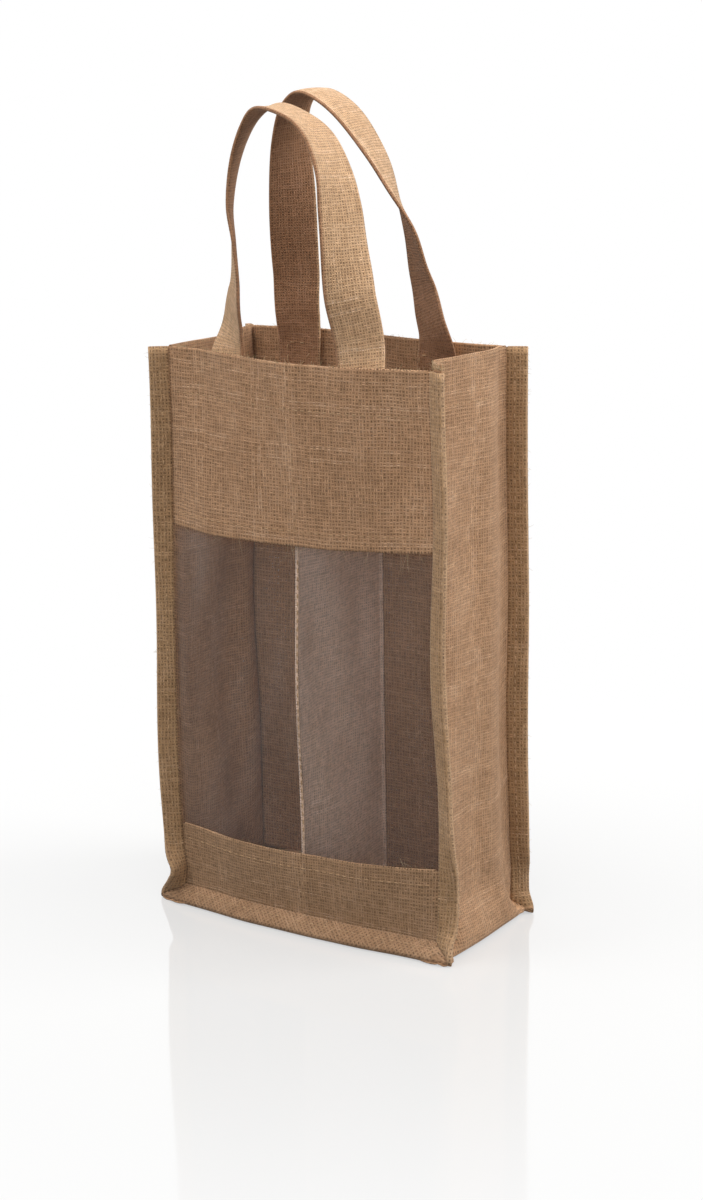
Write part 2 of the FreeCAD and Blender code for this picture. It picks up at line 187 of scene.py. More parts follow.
@dataclass(frozen=True)
class Flange:
    """One upright seam that stands out at a corner, and how it leans.

    The angle is from the broad wall's plane. It is 45 degrees at the floor, where the seam meets the base seam,
    settles to its own angle between two heights, and is bent on the way by the pull of the corner.
    """

    face: Face
    hand: Hand
    upper: float
    kick: float
    kick_height: float = 28.0
    kick_spread: float = 11.0
    settle: tuple[float, float] = (8.0, 48.0)

    def angle(self, height: np.ndarray) -> np.ndarray:
        """Angle in radians: the foot's, eased to the upper one, plus a bell of the kick.

        Args:
            height: height over the floor.

        Returns:
            The angle in radians.
        """
        start, end = self.settle
        rise = ease((height - start) / (end - start))
        bent = self.kick * hump(height, self.kick_height, self.kick_spread) * ease((height - 6.0) / 14.0)
        return np.radians(SIZES.flange_foot + (self.upper - SIZES.flange_foot) * rise + bent)

    def place(self, reach: np.ndarray | float, off: np.ndarray | float, height: np.ndarray) -> np.ndarray:
        """Places at the seam before it hangs.

        Args:
            reach: distance out along the flange.
            off: distance from its middle towards the broad wall's outside.
            height: height over the floor.

        Returns:
            Points in millimetres.
        """
        lean = self.angle(height)
        x = SIZES.half_width + reach * np.cos(lean) - off * np.sin(lean)
        y = SIZES.half_depth + reach * np.sin(lean) + off * np.cos(lean)
        return np.stack([self.hand.value * x, self.face.value * y, height], axis=-1)


FLANGES: dict[tuple[Face, Hand], Flange] = {
    (flange.face, flange.hand): flange
    for flange in (
        Flange(Face.FRONT, Hand.LEFT, upper=34.0, kick=42.0, kick_height=24.0, kick_spread=9.5),
        Flange(
            Face.FRONT, Hand.RIGHT, upper=28.0, kick=-44.0, kick_height=37.0, kick_spread=31.0, settle=(0.0, 14.0)
        ),
        Flange(Face.BACK, Hand.LEFT, upper=40.0, kick=14.0),
        Flange(Face.BACK, Hand.RIGHT, upper=19.0, kick=12.0),
    )
}


def lean_at(face: Face, x: np.ndarray, height: np.ndarray) -> np.ndarray:
    """Angle of a broad wall's left or right flange, by the end that a place is at."""
    return np.where(x < 0.0, FLANGES[face, Hand.LEFT].angle(height), FLANGES[face, Hand.RIGHT].angle(height))


@dataclass(frozen=True)
class Drape:
    """How the sewn cloth hangs: one smooth movement of space, so that pieces that are sewn together stay so."""

    taper_low: float = 0.030
    taper_high: float = 0.014
    belly: float = 3.2
    ridge: float = 4.0
    hollow: float = 2.0
    wave: float = 1.3
    back_rise: float = 4.5
    # Each ear's end and wall, by the signs of X and Y, and its steps in X and Y.
    ears: tuple[tuple[float, float, float, float], ...] = (
        (-1.0, -1.0, -7.5, 3.0),
        (1.0, -1.0, 4.0, 1.0),
        (1.0, 1.0, 4.0, -1.0),
        (-1.0, 1.0, -3.0, 0.0),
    )

    def __call__(self, points: np.ndarray) -> np.ndarray:
        """Moves points as the cloth hangs.

        The width shrinks by a share that grows with height, and the left side is fuller at half height. Each
        broad wall waves along its own normal by a sum of sines of X and Z. Each side waves by a sum of sines of
        Y and Z, and has an outward ridge behind its middle, which runs to the back near the floor, and a hollow
        beside the back seam. The back rim stands higher towards the left, and the ears at the four corners of the
        base are pulled out, each by its own step.

        Args:
            points: array whose last axis is X, Y, Z.

        Returns:
            The moved points.
        """
        x, y, z = np.moveaxis(points, -1, 0)
        hand = np.sign(x)
        broad = ease((np.abs(y) - 18.0) / 24.0)
        side = ease((np.abs(x) - 78.0) / 22.0)
        held = 0.35 + 0.65 * ease((z - 12.0) / 70.0)
        front = (
            np.sin(TURN * (x / 150.0 + 0.11)) * np.sin(TURN * (z / 205.0 + 0.07))
            + 0.6 * np.sin(TURN * (x / 83.0 - z / 290.0 + 0.31))
            + 0.35 * np.sin(TURN * (x / 47.0 + z / 160.0 + 0.63))
        )
        back = (
            np.sin(TURN * (x / 170.0 + 0.41)) * np.sin(TURN * (z / 230.0 + 0.57))
            + 0.6 * np.sin(TURN * (x / 90.0 + z / 250.0 + 0.13))
        )
        flank = (
            np.sin(TURN * (y / 120.0 + 0.2 * hand)) * np.sin(TURN * (z / 190.0 + 0.15 + 0.2 * hand))
            + 0.5 * np.sin(TURN * (y / 64.0 + z / 170.0 + 0.4))
        )
        crest = 15.0 + 14.0 * (1.0 - ease(z / 55.0))
        ridge = self.ridge * hump(y, crest, 14.0) * ease((z - 6.0) / 40.0) * (1.0 - 0.5 * ease((z - 330.0) / 36.0))
        hollow = self.hollow * hump(y, 36.0, 7.0) * ease((z - 25.0) / 40.0)
        ear_x = ear_y = 0.0
        for end, wall, step_x, step_y in self.ears:
            ear = ease((end * x - 99.0) / 9.0) * ease((wall * y - 42.0) / 8.0) * (1.0 - ease((z - 3.0) / 13.0))
            ear_x, ear_y = ear_x + step_x * ear, ear_y + step_y * ear
        shrunk = x * (1.0 - self.taper_low - self.taper_high * ease(z / 260.0))
        belly = self.belly * ease((-x - 20.0) / 80.0) * hump(z, 165.0, 75.0)
        moved_x = shrunk + hand * side * (ridge - hollow + held * self.wave * flank) + ear_x - belly
        moved_y = y + broad * held * self.wave * np.where(y < 0.0, front, back) + ear_y
        rear = ease((y - 10.0) / 30.0) * ease((z - 240.0) / 126.0) * (1.0 - ease((z - 366.0) / 60.0))
        moved_z = z + self.back_rise * rear * ease(0.5 - x / 160.0)
        return np.stack([moved_x, moved_y, moved_z], axis=-1)


DRAPE = Drape()


def sheet_object(
    name: str,
    points: np.ndarray,
    cut: np.ndarray,
    thickness: float = 0.0,
    keep: np.ndarray | None = None,
    closed: bool = False,
) -> Object:
    """Makes a mesh from a grid of points, with the place in the flat cut as its UV map, in millimetres.

    Args:
        name: the piece's name.
        points: grid of rows, columns and X, Y, Z in millimetres.
        cut: grid of the flat cut's places, with one more column than points where the grid is closed.
        thickness: thickness of a sheet, half to each side, or 0 where the grid is closed.
        keep: which squares of the grid are cloth, or None for all.
        closed: whether the last column joins the first, and the first and last rows are capped.

    Returns:
        The new object at the origin.
    """
    rows, columns = points.shape[:2]
    wide = cut.shape[1]
    row, column = np.meshgrid(np.arange(rows - 1), np.arange(wide - 1), indexing="ij")
    corners = [(row, column), (row, column + 1), (row + 1, column + 1), (row + 1, column)]
    vertex = np.stack([r * columns + c % columns for r, c in corners], axis=-1)
    place = np.stack([r * wide + c for r, c in corners], axis=-1)
    if keep is not None:
        vertex, place = vertex[keep], place[keep]
    used, vertex = np.unique(vertex, return_inverse=True)
    faces = vertex.reshape(-1, 4).tolist()
    places = place.reshape(-1)
    if closed:
        faces += [list(range(columns))[::-1], list(range((rows - 1) * columns, rows * columns))]
        ends = np.arange(columns)
        places = np.concatenate([places, ends[::-1], (rows - 1) * wide + ends])
    piece = mesh_object(name, points.reshape(-1, 3)[used], faces, cut.reshape(-1, 2)[places])
    if thickness:
        wall = piece.modifiers.new("thickness", "SOLIDIFY")
        wall.thickness, wall.offset = thickness * MM, 0.0
    return piece


def kept_squares(columns: np.ndarray, inset: np.ndarray, seam: float) -> np.ndarray:
    """Which squares of a grid are cloth: all of its outer layer, and those of a turned layer inside the seam lines.

    Args:
        columns: the columns' places across the cut.
        inset: the rows' distances inside the outer layer.
        seam: place of the seam lines across the cut.

    Returns:
        True for each square that is cloth.
    """
    turned = inset > 0.01
    within = np.abs(columns[:-1] + columns[1:]) / 2.0 < seam - SIZES.clear
    return ~(turned[:-1] | turned[1:])[:, None] | within[None, :]


def mesh_object(name: str, points: np.ndarray, faces: list[list[int]], cut: np.ndarray) -> Object:
    """Puts points, faces and a UV place for each face corner into a smooth mesh and links it.

    Args:
        name: the piece's name.
        points: vertices in millimetres, one a row.
        faces: vertex numbers of each face.
        cut: UV place of each face corner, in the order of the faces.

    Returns:
        The new object at the origin.
    """
    mesh = bpy.data.meshes.new(name)
    mesh.from_pydata((points * MM).tolist(), [], faces)
    mesh.uv_layers.new(name="cut").data.foreach_set("uv", cut.astype(np.float32).ravel())
    mesh.polygons.foreach_set("use_smooth", np.ones(len(mesh.polygons), dtype=bool))
    mesh.update()
    made = bpy.data.objects.new(name, mesh)
    bpy.context.scene.collection.objects.link(made)
    return made


def put_on(piece: Object, material: Material, nodes: tuple[str, ...] = ()) -> Object:
    """Dresses a piece, puts it on the bag and hides the frame's nodes that it stands for.

    Args:
        piece: the finished object.
        material: its finish.
        nodes: nodes that it replaces.

    Returns:
        The same piece.
    """
    piece.data.materials.append(material)
    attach(piece, "bag")
    if nodes:
        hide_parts(*nodes)
    LOG.info("%s: %d faces, moves with the bag", piece.name, len(piece.data.polygons))
    return piece


def linear(code: str) -> tuple[float, float, float, float]:
    """An sRGB hex colour as linear red, green, blue and an opacity of 1.

    Args:
        code: a hash and six hex digits.

    Returns:
        The four values, from 0 to 1.
    """
    shares = [int(code[i : i + 2], 16) / 255.0 for i in (1, 3, 5)]
    red, green, blue = (s / 12.92 if s <= 0.04045 else ((s + 0.055) / 1.055) ** 2.4 for s in shares)
    return red, green, blue, 1.0


def add(
    tree: Tree, kind: str, feeds: dict | None = None, out: int | str = 0, **settings: object
) -> Socket | None:
    """Adds a node with its settings, feeds its inputs and hands back one of its outputs.

    Args:
        tree: tree that takes the node.
        kind: the node's type name, without the word that all of them start with.
        feeds: input name or number to an output to link, or to a value to set.
        out: name or number of the output wanted.
        settings: properties of the node.

    Returns:
        The output socket, or None for a node with no outputs.
    """
    made = tree.nodes.new(f"ShaderNode{kind}")
    for name, value in settings.items():
        setattr(made, name, value)
    for key, value in (feeds or {}).items():
        if isinstance(value, Socket):
            tree.links.new(value, made.inputs[key])
        else:
            made.inputs[key].default_value = value
    return made.outputs[out] if made.outputs else None


def new_tree(name: str) -> tuple[Material, Tree]:
    """A new material with an empty node tree.

    Args:
        name: the material's name.

    Returns:
        The material and its tree.
    """
    material = bpy.data.materials.new(name)
    material.use_nodes = True
    material.node_tree.nodes.clear()
    return material, material.node_tree


@dataclass(frozen=True)
class JuteFinish:
    """Plain-weave jute: coarse dull yarns of uneven thickness with open gaps between them.

    The eye sees an even grid of yarns with a dark pore between every four, where painted shade deepens the real gap,
    here and there a paler yarn, slubs along single yarns, faint clouds of tone over a few centimetres and a little
    fuzz at grazing light. Along a strip's fold, at 0 across its cut, the tone shifts: paler with wear on some strips,
    darker by painted shade on others. The face of a strap that is turned to the bag, past its fold in the cut, is
    darkened and reddened by painted shade.
    """

    name: str
    pale: str = "#cea888"
    middle: str = "#b9906d"
    dark: str = "#a07958"
    pitch: float = 2.15
    grain: Grain = Grain.SQUARE
    pores: float = 0.85
    hollow: float = 0.24
    # Above 0, how much paler a fold is with wear; below 0, how much darker it is by painted shade.
    wear_and_shade: float = 0.0
    # Painted shade on the strap's face turned to the bag: the colour it is multiplied by, and the span of the cut where
    # it sets in.
    inner: str = "#ffffff"
    inner_shade_from: tuple[float, float] = (30.5, 32.5)

    # A yarn's steps: result, operation and inputs. "own" counts yarns of its kind and "other" those it crosses. It
    # goes over and under by a sine of the crossings, one yarn later than its neighbour, and has a round section.
    YARN = (
        ("off", "WRAP", "own", 0.5, -0.5),
        ("far", "DIVIDE", "off", "half"),
        ("square", "MULTIPLY", "far", "far"),
        ("inside", "SUBTRACT", 1.0, "square"),
        ("cut", "MAXIMUM", "inside", 0.0),
        ("round", "SQRT", "cut"),
        ("step", "ADD", "other", "number"),
        ("turn", "MULTIPLY", "step", math.pi),
        ("sine", "SINE", "turn"),
        ("lift", "MULTIPLY_ADD", "sine", "over", 0.85),
        ("high", "MULTIPLY", "round", "lift"),
    )

    def material(self) -> Material:
        """Builds the material.

        Returns:
            The finished material, which reads the UV map of the flat cut in millimetres.
        """
        material, tree = new_tree(self.name)
        plane = {"noise_dimensions": "2D"}
        flat = add(tree, "UVMap", uv_map="cut")
        flat_x = add(tree, "SeparateXYZ", {"Vector": flat})
        turned = add(tree, "Mapping", {"Vector": flat, "Rotation": (0.0, 0.0, math.radians(self.grain.value))})
        # Yarns wander by about a third of a millimetre over a few centimetres.
        wander = add(tree, "TexNoise", {"Vector": turned, "Scale": 1 / 30.0, "Detail": 4.0}, "Color", **plane)
        shift = add(tree, "VectorMath", {0: wander, 1: (2.4, 2.4, 0.0), 2: turned}, operation="MULTIPLY_ADD")
        count = add(tree, "VectorMath", {0: shift, "Scale": 1.0 / self.pitch}, operation="SCALE")
        across, along = (add(tree, "SeparateXYZ", {"Vector": count}, axis) for axis in "XY")
        # Yarns swell and thin over one to three crossings, so that some pores are open and some closed.
        swell = add(tree, "TexNoise", {"Vector": count, "Scale": 0.8, "Detail": 4.0, "Roughness": 0.65}, **plane)
        yarns = []
        for own, other, start, over in ((across, along, 0.37, 0.15), (along, across, 91.7, -0.15)):
            number = add(tree, "Math", {0: own}, operation="FLOOR")
            key = add(tree, "Math", {0: number, 1: start}, operation="ADD")
            tone = add(tree, "TexWhiteNoise", {"W": key}, noise_dimensions="1D")
            thin = add(tree, "MapRange", {"Value": tone, "To Min": 0.19, "To Max": 0.25})
            half = add(tree, "Math", {0: swell, 1: 0.39, 2: thin}, operation="MULTIPLY_ADD")
            known = {"own": own, "other": other, "over": over, "number": number, "tone": tone, "half": half}
            for name, operation, *inputs in self.YARN:
                feeds = {i: known.get(value, value) for i, value in enumerate(inputs)}
                known[name] = add(tree, "Math", feeds, operation=operation)
            yarns.append(known)
        warp, weft = yarns
        heights = {0: warp["high"], 1: weft["high"]}
        top = add(tree, "Math", heights, operation="MAXIMUM")
        warp_shows = add(tree, "Math", heights, operation="GREATER_THAN")
        tone = add(tree, "Mix", {0: warp_shows, 2: weft["tone"], 3: warp["tone"]})
        # Slubs: streaks about one yarn wide and eight long, along whichever yarn is on top.
        stretch = ((1.0, 0.13, 0.0), (0.13, 1.0, 0.0))
        on_warp, on_weft = (add(tree, "VectorMath", {0: count, 1: by}, operation="MULTIPLY") for by in stretch)
        streak = add(tree, "Mix", {0: warp_shows, 4: on_weft, 5: on_warp}, 1, data_type="VECTOR")
        slub = add(tree, "TexNoise", {"Vector": streak, "Scale": 1.0, "Detail": 4.0}, **plane)
        # The tone: slubs, a few pale yarns that break off, a little of each yarn's own tone, clouds, and along a fold
        # wear on some strips and painted shade on others.
        cloud = add(tree, "TexNoise", {"Vector": flat, "Scale": 1 / 38.0, "Detail": 3.0}, **plane)
        single = add(tree, "Math", {0: tone, 1: 14.0}, operation="POWER")
        broken = add(tree, "MapRange", {"Value": slub, "From Min": 0.42, "From Max": 0.66, "To Max": 0.6})
        away = add(tree, "Math", {0: flat_x}, operation="ABSOLUTE")
        # Along a fold: paler with wear where the amount is above 0, darker by painted shade where it is below 0.
        fold_wear_and_shade = add(tree, "MapRange", {"Value": away, "From Min": 0.5, "From Max": 2.0, "To Min": 1.0, "To Max": 0.0})
        shade = slub
        for part, share in ((single, broken), (tone, 0.15), (cloud, 0.5), (fold_wear_and_shade, self.wear_and_shade)):
            shade = add(tree, "Math", {0: part, 1: share, 2: shade}, operation="MULTIPLY_ADD")
        tone_at = add(tree, "MapRange", {"Value": shade, "From Min": 0.3, "From Max": 1.4})
        ramp = add(tree, "ValToRGB", {0: tone_at})
        stops = ramp.node.color_ramp.elements
        stops[0].position, stops[0].color = 0.15, linear(self.dark)
        stops[1].position, stops[1].color = 1.0, linear(self.pale)
        stops.new(0.5).color = linear(self.middle)
        # Light hardly reaches the pores and the dips between yarns, and no two crossings take it alike.
        depth = add(tree, "MapRange", {"Value": top, "From Max": 0.9, "To Min": self.hollow, "To Max": 1.08})
        crossing = add(tree, "CombineXYZ", {"X": warp["number"], "Y": weft["number"]})
        chance = add(tree, "TexWhiteNoise", {"Vector": crossing}, **plane)
        uneven = add(tree, "MapRange", {"Value": chance, "To Min": 0.87, "To Max": 1.13})
        depth = add(tree, "Math", {0: depth, 1: uneven}, operation="MULTIPLY")
        colour = add(tree, "VectorMath", {0: ramp, "Scale": depth}, operation="SCALE")
        # Past its fold, the strap's face turned to the bag is darkened and reddened: painted shade.
        start, end = self.inner_shade_from
        past = add(tree, "MapRange", {"Value": flat_x, "From Min": start, "From Max": end})
        less = tuple(part - 1.0 for part in linear(self.inner)[:3])
        tint = add(tree, "VectorMath", {0: past, 1: less, 2: (1.0, 1.0, 1.0)}, operation="MULTIPLY_ADD")
        colour = add(tree, "VectorMath", {0: colour, 1: tint}, operation="MULTIPLY")
        height = add(tree, "Math", {0: slub, 1: 0.35, 2: top}, operation="MULTIPLY_ADD")
        pore = {"Value": top, "From Min": 0.04, "From Max": 0.28, "To Min": 1.0 - self.pores}
        cloth = {
            "Base Color": colour,
            "Roughness": 0.92,
            "Specular IOR Level": 0.18,
            "Sheen Weight": 0.2,
            "Sheen Roughness": 0.6,
            "Sheen Tint": linear("#efe4d6"),
            "Normal": add(tree, "Bump", {"Strength": 0.75, "Distance": 0.5 * MM, "Height": height}),
            "Alpha": add(tree, "MapRange", pore),
        }
        add(tree, "OutputMaterial", {"Surface": add(tree, "BsdfPrincipled", cloth)})
        return material


@dataclass(frozen=True)
class FilmFinish:
    """Clear soft vinyl film: glossy, very slightly hazy, with a weak glare that follows its ripples."""

    name: str = "clear_vinyl_film"
    haze: str = "#dfe2e4"

    def material(self) -> Material:
        """Builds the material: a see-through sheet mixed with a glossy one, more so at grazing angles.

        Returns:
            The finished material.
        """
        material, tree = new_tree(self.name)
        flat = add(tree, "UVMap", uv_map="cut")
        # Ripples of about 20 mm and a film of dust and rubbing of about 1.5 mm.
        ripple = add(tree, "TexNoise", {"Vector": flat, "Scale": 1 / 21.0, "Detail": 2.0}, noise_dimensions="2D")
        dust = add(tree, "TexNoise", {"Vector": flat, "Scale": 1 / 1.5, "Detail": 4.0}, noise_dimensions="2D")
        rough = add(tree, "MapRange", {"Value": dust, "To Min": 0.10, "To Max": 0.24})
        bump = add(tree, "Bump", {"Strength": 0.2, "Distance": 0.6 * MM, "Height": ripple})
        gloss = add(
            tree,
            "BsdfPrincipled",
            {"Base Color": linear(self.haze), "Roughness": rough, "IOR": 1.53, "Normal": bump},
        )
        clear = add(tree, "BsdfTransparent", {"Color": (0.995, 0.995, 0.995, 1.0)})
        facing = add(tree, "LayerWeight", {"Blend": 0.5, "Normal": bump}, "Facing")
        grazing = add(tree, "Math", {0: facing, 1: 3.5}, operation="POWER")
        share = add(tree, "MapRange", {"Value": grazing, "To Min": 0.03, "To Max": 0.7})
        surface = add(tree, "MixShader", {0: share, 1: clear, 2: gloss})
        add(tree, "OutputMaterial", {"Surface": surface})
        return material


@dataclass(frozen=True)
class ThreadFinish:
    """Twisted sewing thread or a loose bast fibre: a dull strand with fine diagonal ply lines."""

    name: str
    light: str = "#bd9a75"
    shade: str = "#957250"
    ply: float = 0.8

    def material(self) -> Material:
        """Builds the material: bands of the twist across a strand, over a slow change of tone.

        Returns:
            The finished material.
        """
        material, tree = new_tree(self.name)
        place = add(tree, "TexCoord", out="Object")
        bands = add(
            tree,
            "TexWave",
            {"Vector": place, "Scale": 1.0 / (self.ply * MM) / 20.0, "Distortion": 1.5},
            "Fac",
            bands_direction="DIAGONAL",
        )
        tone = add(tree, "TexNoise", {"Vector": place, "Scale": 1 / (9.0 * MM), "Detail": 2.0})
        blend = add(tree, "Math", {0: bands, 1: 0.35, 2: tone}, operation="MULTIPLY_ADD")
        colour = add(
            tree,
            "Mix",
            {0: blend, 6: linear(self.shade), 7: linear(self.light)},
            2,
            data_type="RGBA",
        )
        bump = add(tree, "Bump", {"Strength": 0.5, "Distance": 0.15 * MM, "Height": bands})
        surface = add(
            tree,
            "BsdfPrincipled",
            {"Base Color": colour, "Roughness": 0.8, "Sheen Weight": 0.1, "Normal": bump},
        )
        add(tree, "OutputMaterial", {"Surface": surface})
        return material


@dataclass(frozen=True)
class Finishes:
    """The materials of the whole carrier, made once."""

    cloth: Material = field(default_factory=JuteFinish("jute_plain_weave").material)
    lower: Material = field(
        default_factory=JuteFinish("jute_lower_panel", "#bf9c7e", "#ab8766", "#937152", pitch=1.88).material
    )
    side: Material = field(default_factory=JuteFinish("jute_gusset", pitch=1.98).material)
    # The divider's tabs are darkened along their folds by painted shade.
    lining: Material = field(
        default_factory=JuteFinish(
            "pale_jute_divider", "#f4dccd", "#ebcfbc", "#d2b299", pitch=1.9, hollow=0.4, wear_and_shade=-0.8
        ).material
    )
    # The bindings' folds are paler with wear.
    binding: Material = field(
        default_factory=JuteFinish(
            "jute_binding", "#c29e7c", "#ad8964", "#967352", pores=0.0, hollow=0.38, wear_and_shade=0.45
        ).material
    )
    bias: Material = field(
        default_factory=JuteFinish(
            "jute_bias_binding", "#b99677", "#a58162", "#8e6c4f", grain=Grain.BIAS, pores=0.0, hollow=0.38
        ).material
    )
    # The face of the strap turned to the bag is darkened and reddened by painted shade.
    strap: Material = field(
        default_factory=JuteFinish(
            "jute_strap", "#dfbd9e", "#cba580", "#b28c68", pitch=1.76, pores=0.0, hollow=0.32, inner="#d2c1bb"
        ).material
    )
    thread: Material = field(default_factory=ThreadFinish("jute_sewing_thread").material)
    fibre: Material = field(default_factory=ThreadFinish("loose_jute_fibre", "#d9c39b", "#b0946a").material)
    film: Material = field(default_factory=FilmFinish().material)


@dataclass(frozen=True)
class Wall:
    """One broad wall of the bag and the lips that its cloth sends into the corner seams and the base seam."""

    face: Face
    bow: float
    rim_drop: float = 0.0
    window_lift: float = 0.0
    tuck: float = 0.0
    seam_bend: float = 0.8

    def stands(self, across: np.ndarray, up: np.ndarray | float) -> np.ndarray:
        """How far out the wall is: half the depth plus a bow that is a parabola of X, drawn in at the base seam.

        Args:
            across: place across the cut, 0 in the middle.
            up: place up the cut.

        Returns:
            Distance from the middle of the bag.
        """
        part = np.clip(across / SIZES.half_width, -1.0, 1.0)
        drawn = self.tuck * (1.0 - part**4) * (1.0 - ease((np.asarray(up) - SIZES.seam_height) / 32.0))
        return SIZES.half_depth + self.bow * (1.0 - part**2) - drawn

    def settle(self, across: np.ndarray, up: np.ndarray) -> np.ndarray:
        """How far the cloth is pulled up.

        The window's edges rise to the seams, most to the right: the lift at an edge is a quadratic of the place
        across, and fades above and below. The rim sinks from the left to the middle and stays down.

        Args:
            across: place across the cut, 0 in the middle.
            up: place up the cut.

        Returns:
            The step up, below 0 where the cloth sinks.
        """
        part = across / SIZES.half_width
        low = 2.0 + 1.75 * part + 3.75 * part**2
        high = 0.65 * part + 3.4 * part**2
        mix = ease((up - SIZES.window_bottom) / (SIZES.window_top - SIZES.window_bottom))
        lift = (low + (high - low) * mix) * ease((up - 18.0) / 30.0) * (1.0 - ease((up - 255.0) / 90.0))
        drop = self.rim_drop * ease((part + 1.0) / 1.2) * ease((up - 262.0) / 100.0)
        return self.window_lift * lift - drop

    def surface(self, across: np.ndarray, up: np.ndarray, inset: np.ndarray | float = 0.0) -> np.ndarray:
        """Places of the wall's flat cut on the sewn bag, before it hangs.

        Past a corner's seam line the cloth goes on along that corner's flange, and past the base seam line along
        the base flange. Where both are passed, the step out goes evenly from the base flange's to the corner
        flange's, which makes the mitre.

        Args:
            across: place across the cut, 0 in the middle.
            up: place up the cut, as the height it has on the wall.
            inset: distance towards the inside of the bag.

        Returns:
            Points in millimetres.
        """
        across, up, inset = np.broadcast_arrays(*(np.asarray(part, float) for part in (across, up, inset)))
        hand, face = np.where(across < 0.0, -1.0, 1.0), self.face.value
        past, turned = fold(np.abs(across) - SIZES.half_width, self.seam_bend)
        below, tipped = fold(SIZES.seam_height - up, self.seam_bend)
        lean = lean_at(self.face, across, up)
        flat = np.abs(across) - past
        out = SIZES.seam_gap + self.stands(flat, up)
        across_step, down_step = past * np.sin(lean), below * math.sin(FOOT)
        step = np.where(past > below, across_step, down_step + across_step - past * math.sin(FOOT))
        x = hand * (flat + past * np.cos(lean))
        z = up + below * (1.0 - math.cos(FOOT)) + self.settle(across, up)
        normal = [-hand * np.sin(lean * turned), face * np.cos(lean * turned), np.sin(FOOT * tipped)]
        return np.stack([x, face * (out + step), z], axis=-1) - inset[..., None] * unit(np.stack(normal, axis=-1))

    def cut_lines(self, reach: float) -> np.ndarray:
        """Places across the cut for a grid's columns, closer together at the seam lines.

        Args:
            reach: how far the lips go past the seam lines.

        Returns:
            The places from left to right.
        """
        half, near = SIZES.half_width, SIZES.half_width - SIZES.seam_room
        edge = np.concatenate([np.linspace(near, half + 3.0, 8)[1:], np.linspace(half + 3.0, half + reach, 6)[1:]])
        return np.concatenate([-edge[::-1], np.linspace(-near, near, 72), edge])

    def cloth(self, name: str, profile: np.ndarray) -> Object:
        """Makes a panel whose vertical profile may turn over on itself at a hem.

        Args:
            name: the piece's name.
            profile: rows of height and inset, along the cloth.

        Returns:
            The panel with its thickness.
        """
        columns = self.cut_lines(SIZES.lip)
        points = self.surface(columns[None, :], profile[:, :1], profile[:, 1:])
        cut = flat_cut(columns, run_along(profile)[:, None])
        keep = kept_squares(columns, profile[:, 1], SIZES.half_width)
        if self.face is Face.FRONT:
            points, cut, keep = points[::-1], cut[::-1], keep[::-1]
        return sheet_object(name, DRAPE(points), cut, SIZES.cloth, keep)


def turned_edge(edge: float, turn: float, inward: float, count: int = 6) -> np.ndarray:
    """Rows of height and inset for a cloth's edge that is folded over to the inside.

    The turned layer comes from its raw edge to the fold, and a half circle as wide as the layer spacing carries
    it to the outer layer.

    Args:
        edge: height of the fold.
        turn: length of the turned layer.
        inward: -1 where the layer lies below the fold, as in a hem, and 1 where it lies above it.
        count: rows of the turned layer.

    Returns:
        Rows from the raw edge to the outer layer.
    """
    radius = SIZES.layer / 2.0
    layer = edge + inward * np.linspace(turn, 2.0 * radius, count)
    around = np.linspace(0.0, np.pi, 7)[1:]
    bend = np.stack([edge + inward * radius * (1.0 - np.sin(around)), radius * (1.0 + np.cos(around))], axis=-1)
    return np.concatenate([np.stack([layer, np.full(count, SIZES.layer)], axis=-1), bend])


FRONT_WALL = Wall(Face.FRONT, bow=8.0, rim_drop=5.5, window_lift=1.0, tuck=2.6)
BACK_WALL = Wall(Face.BACK, bow=3.0)
WALLS = {Face.FRONT: FRONT_WALL, Face.BACK: BACK_WALL}


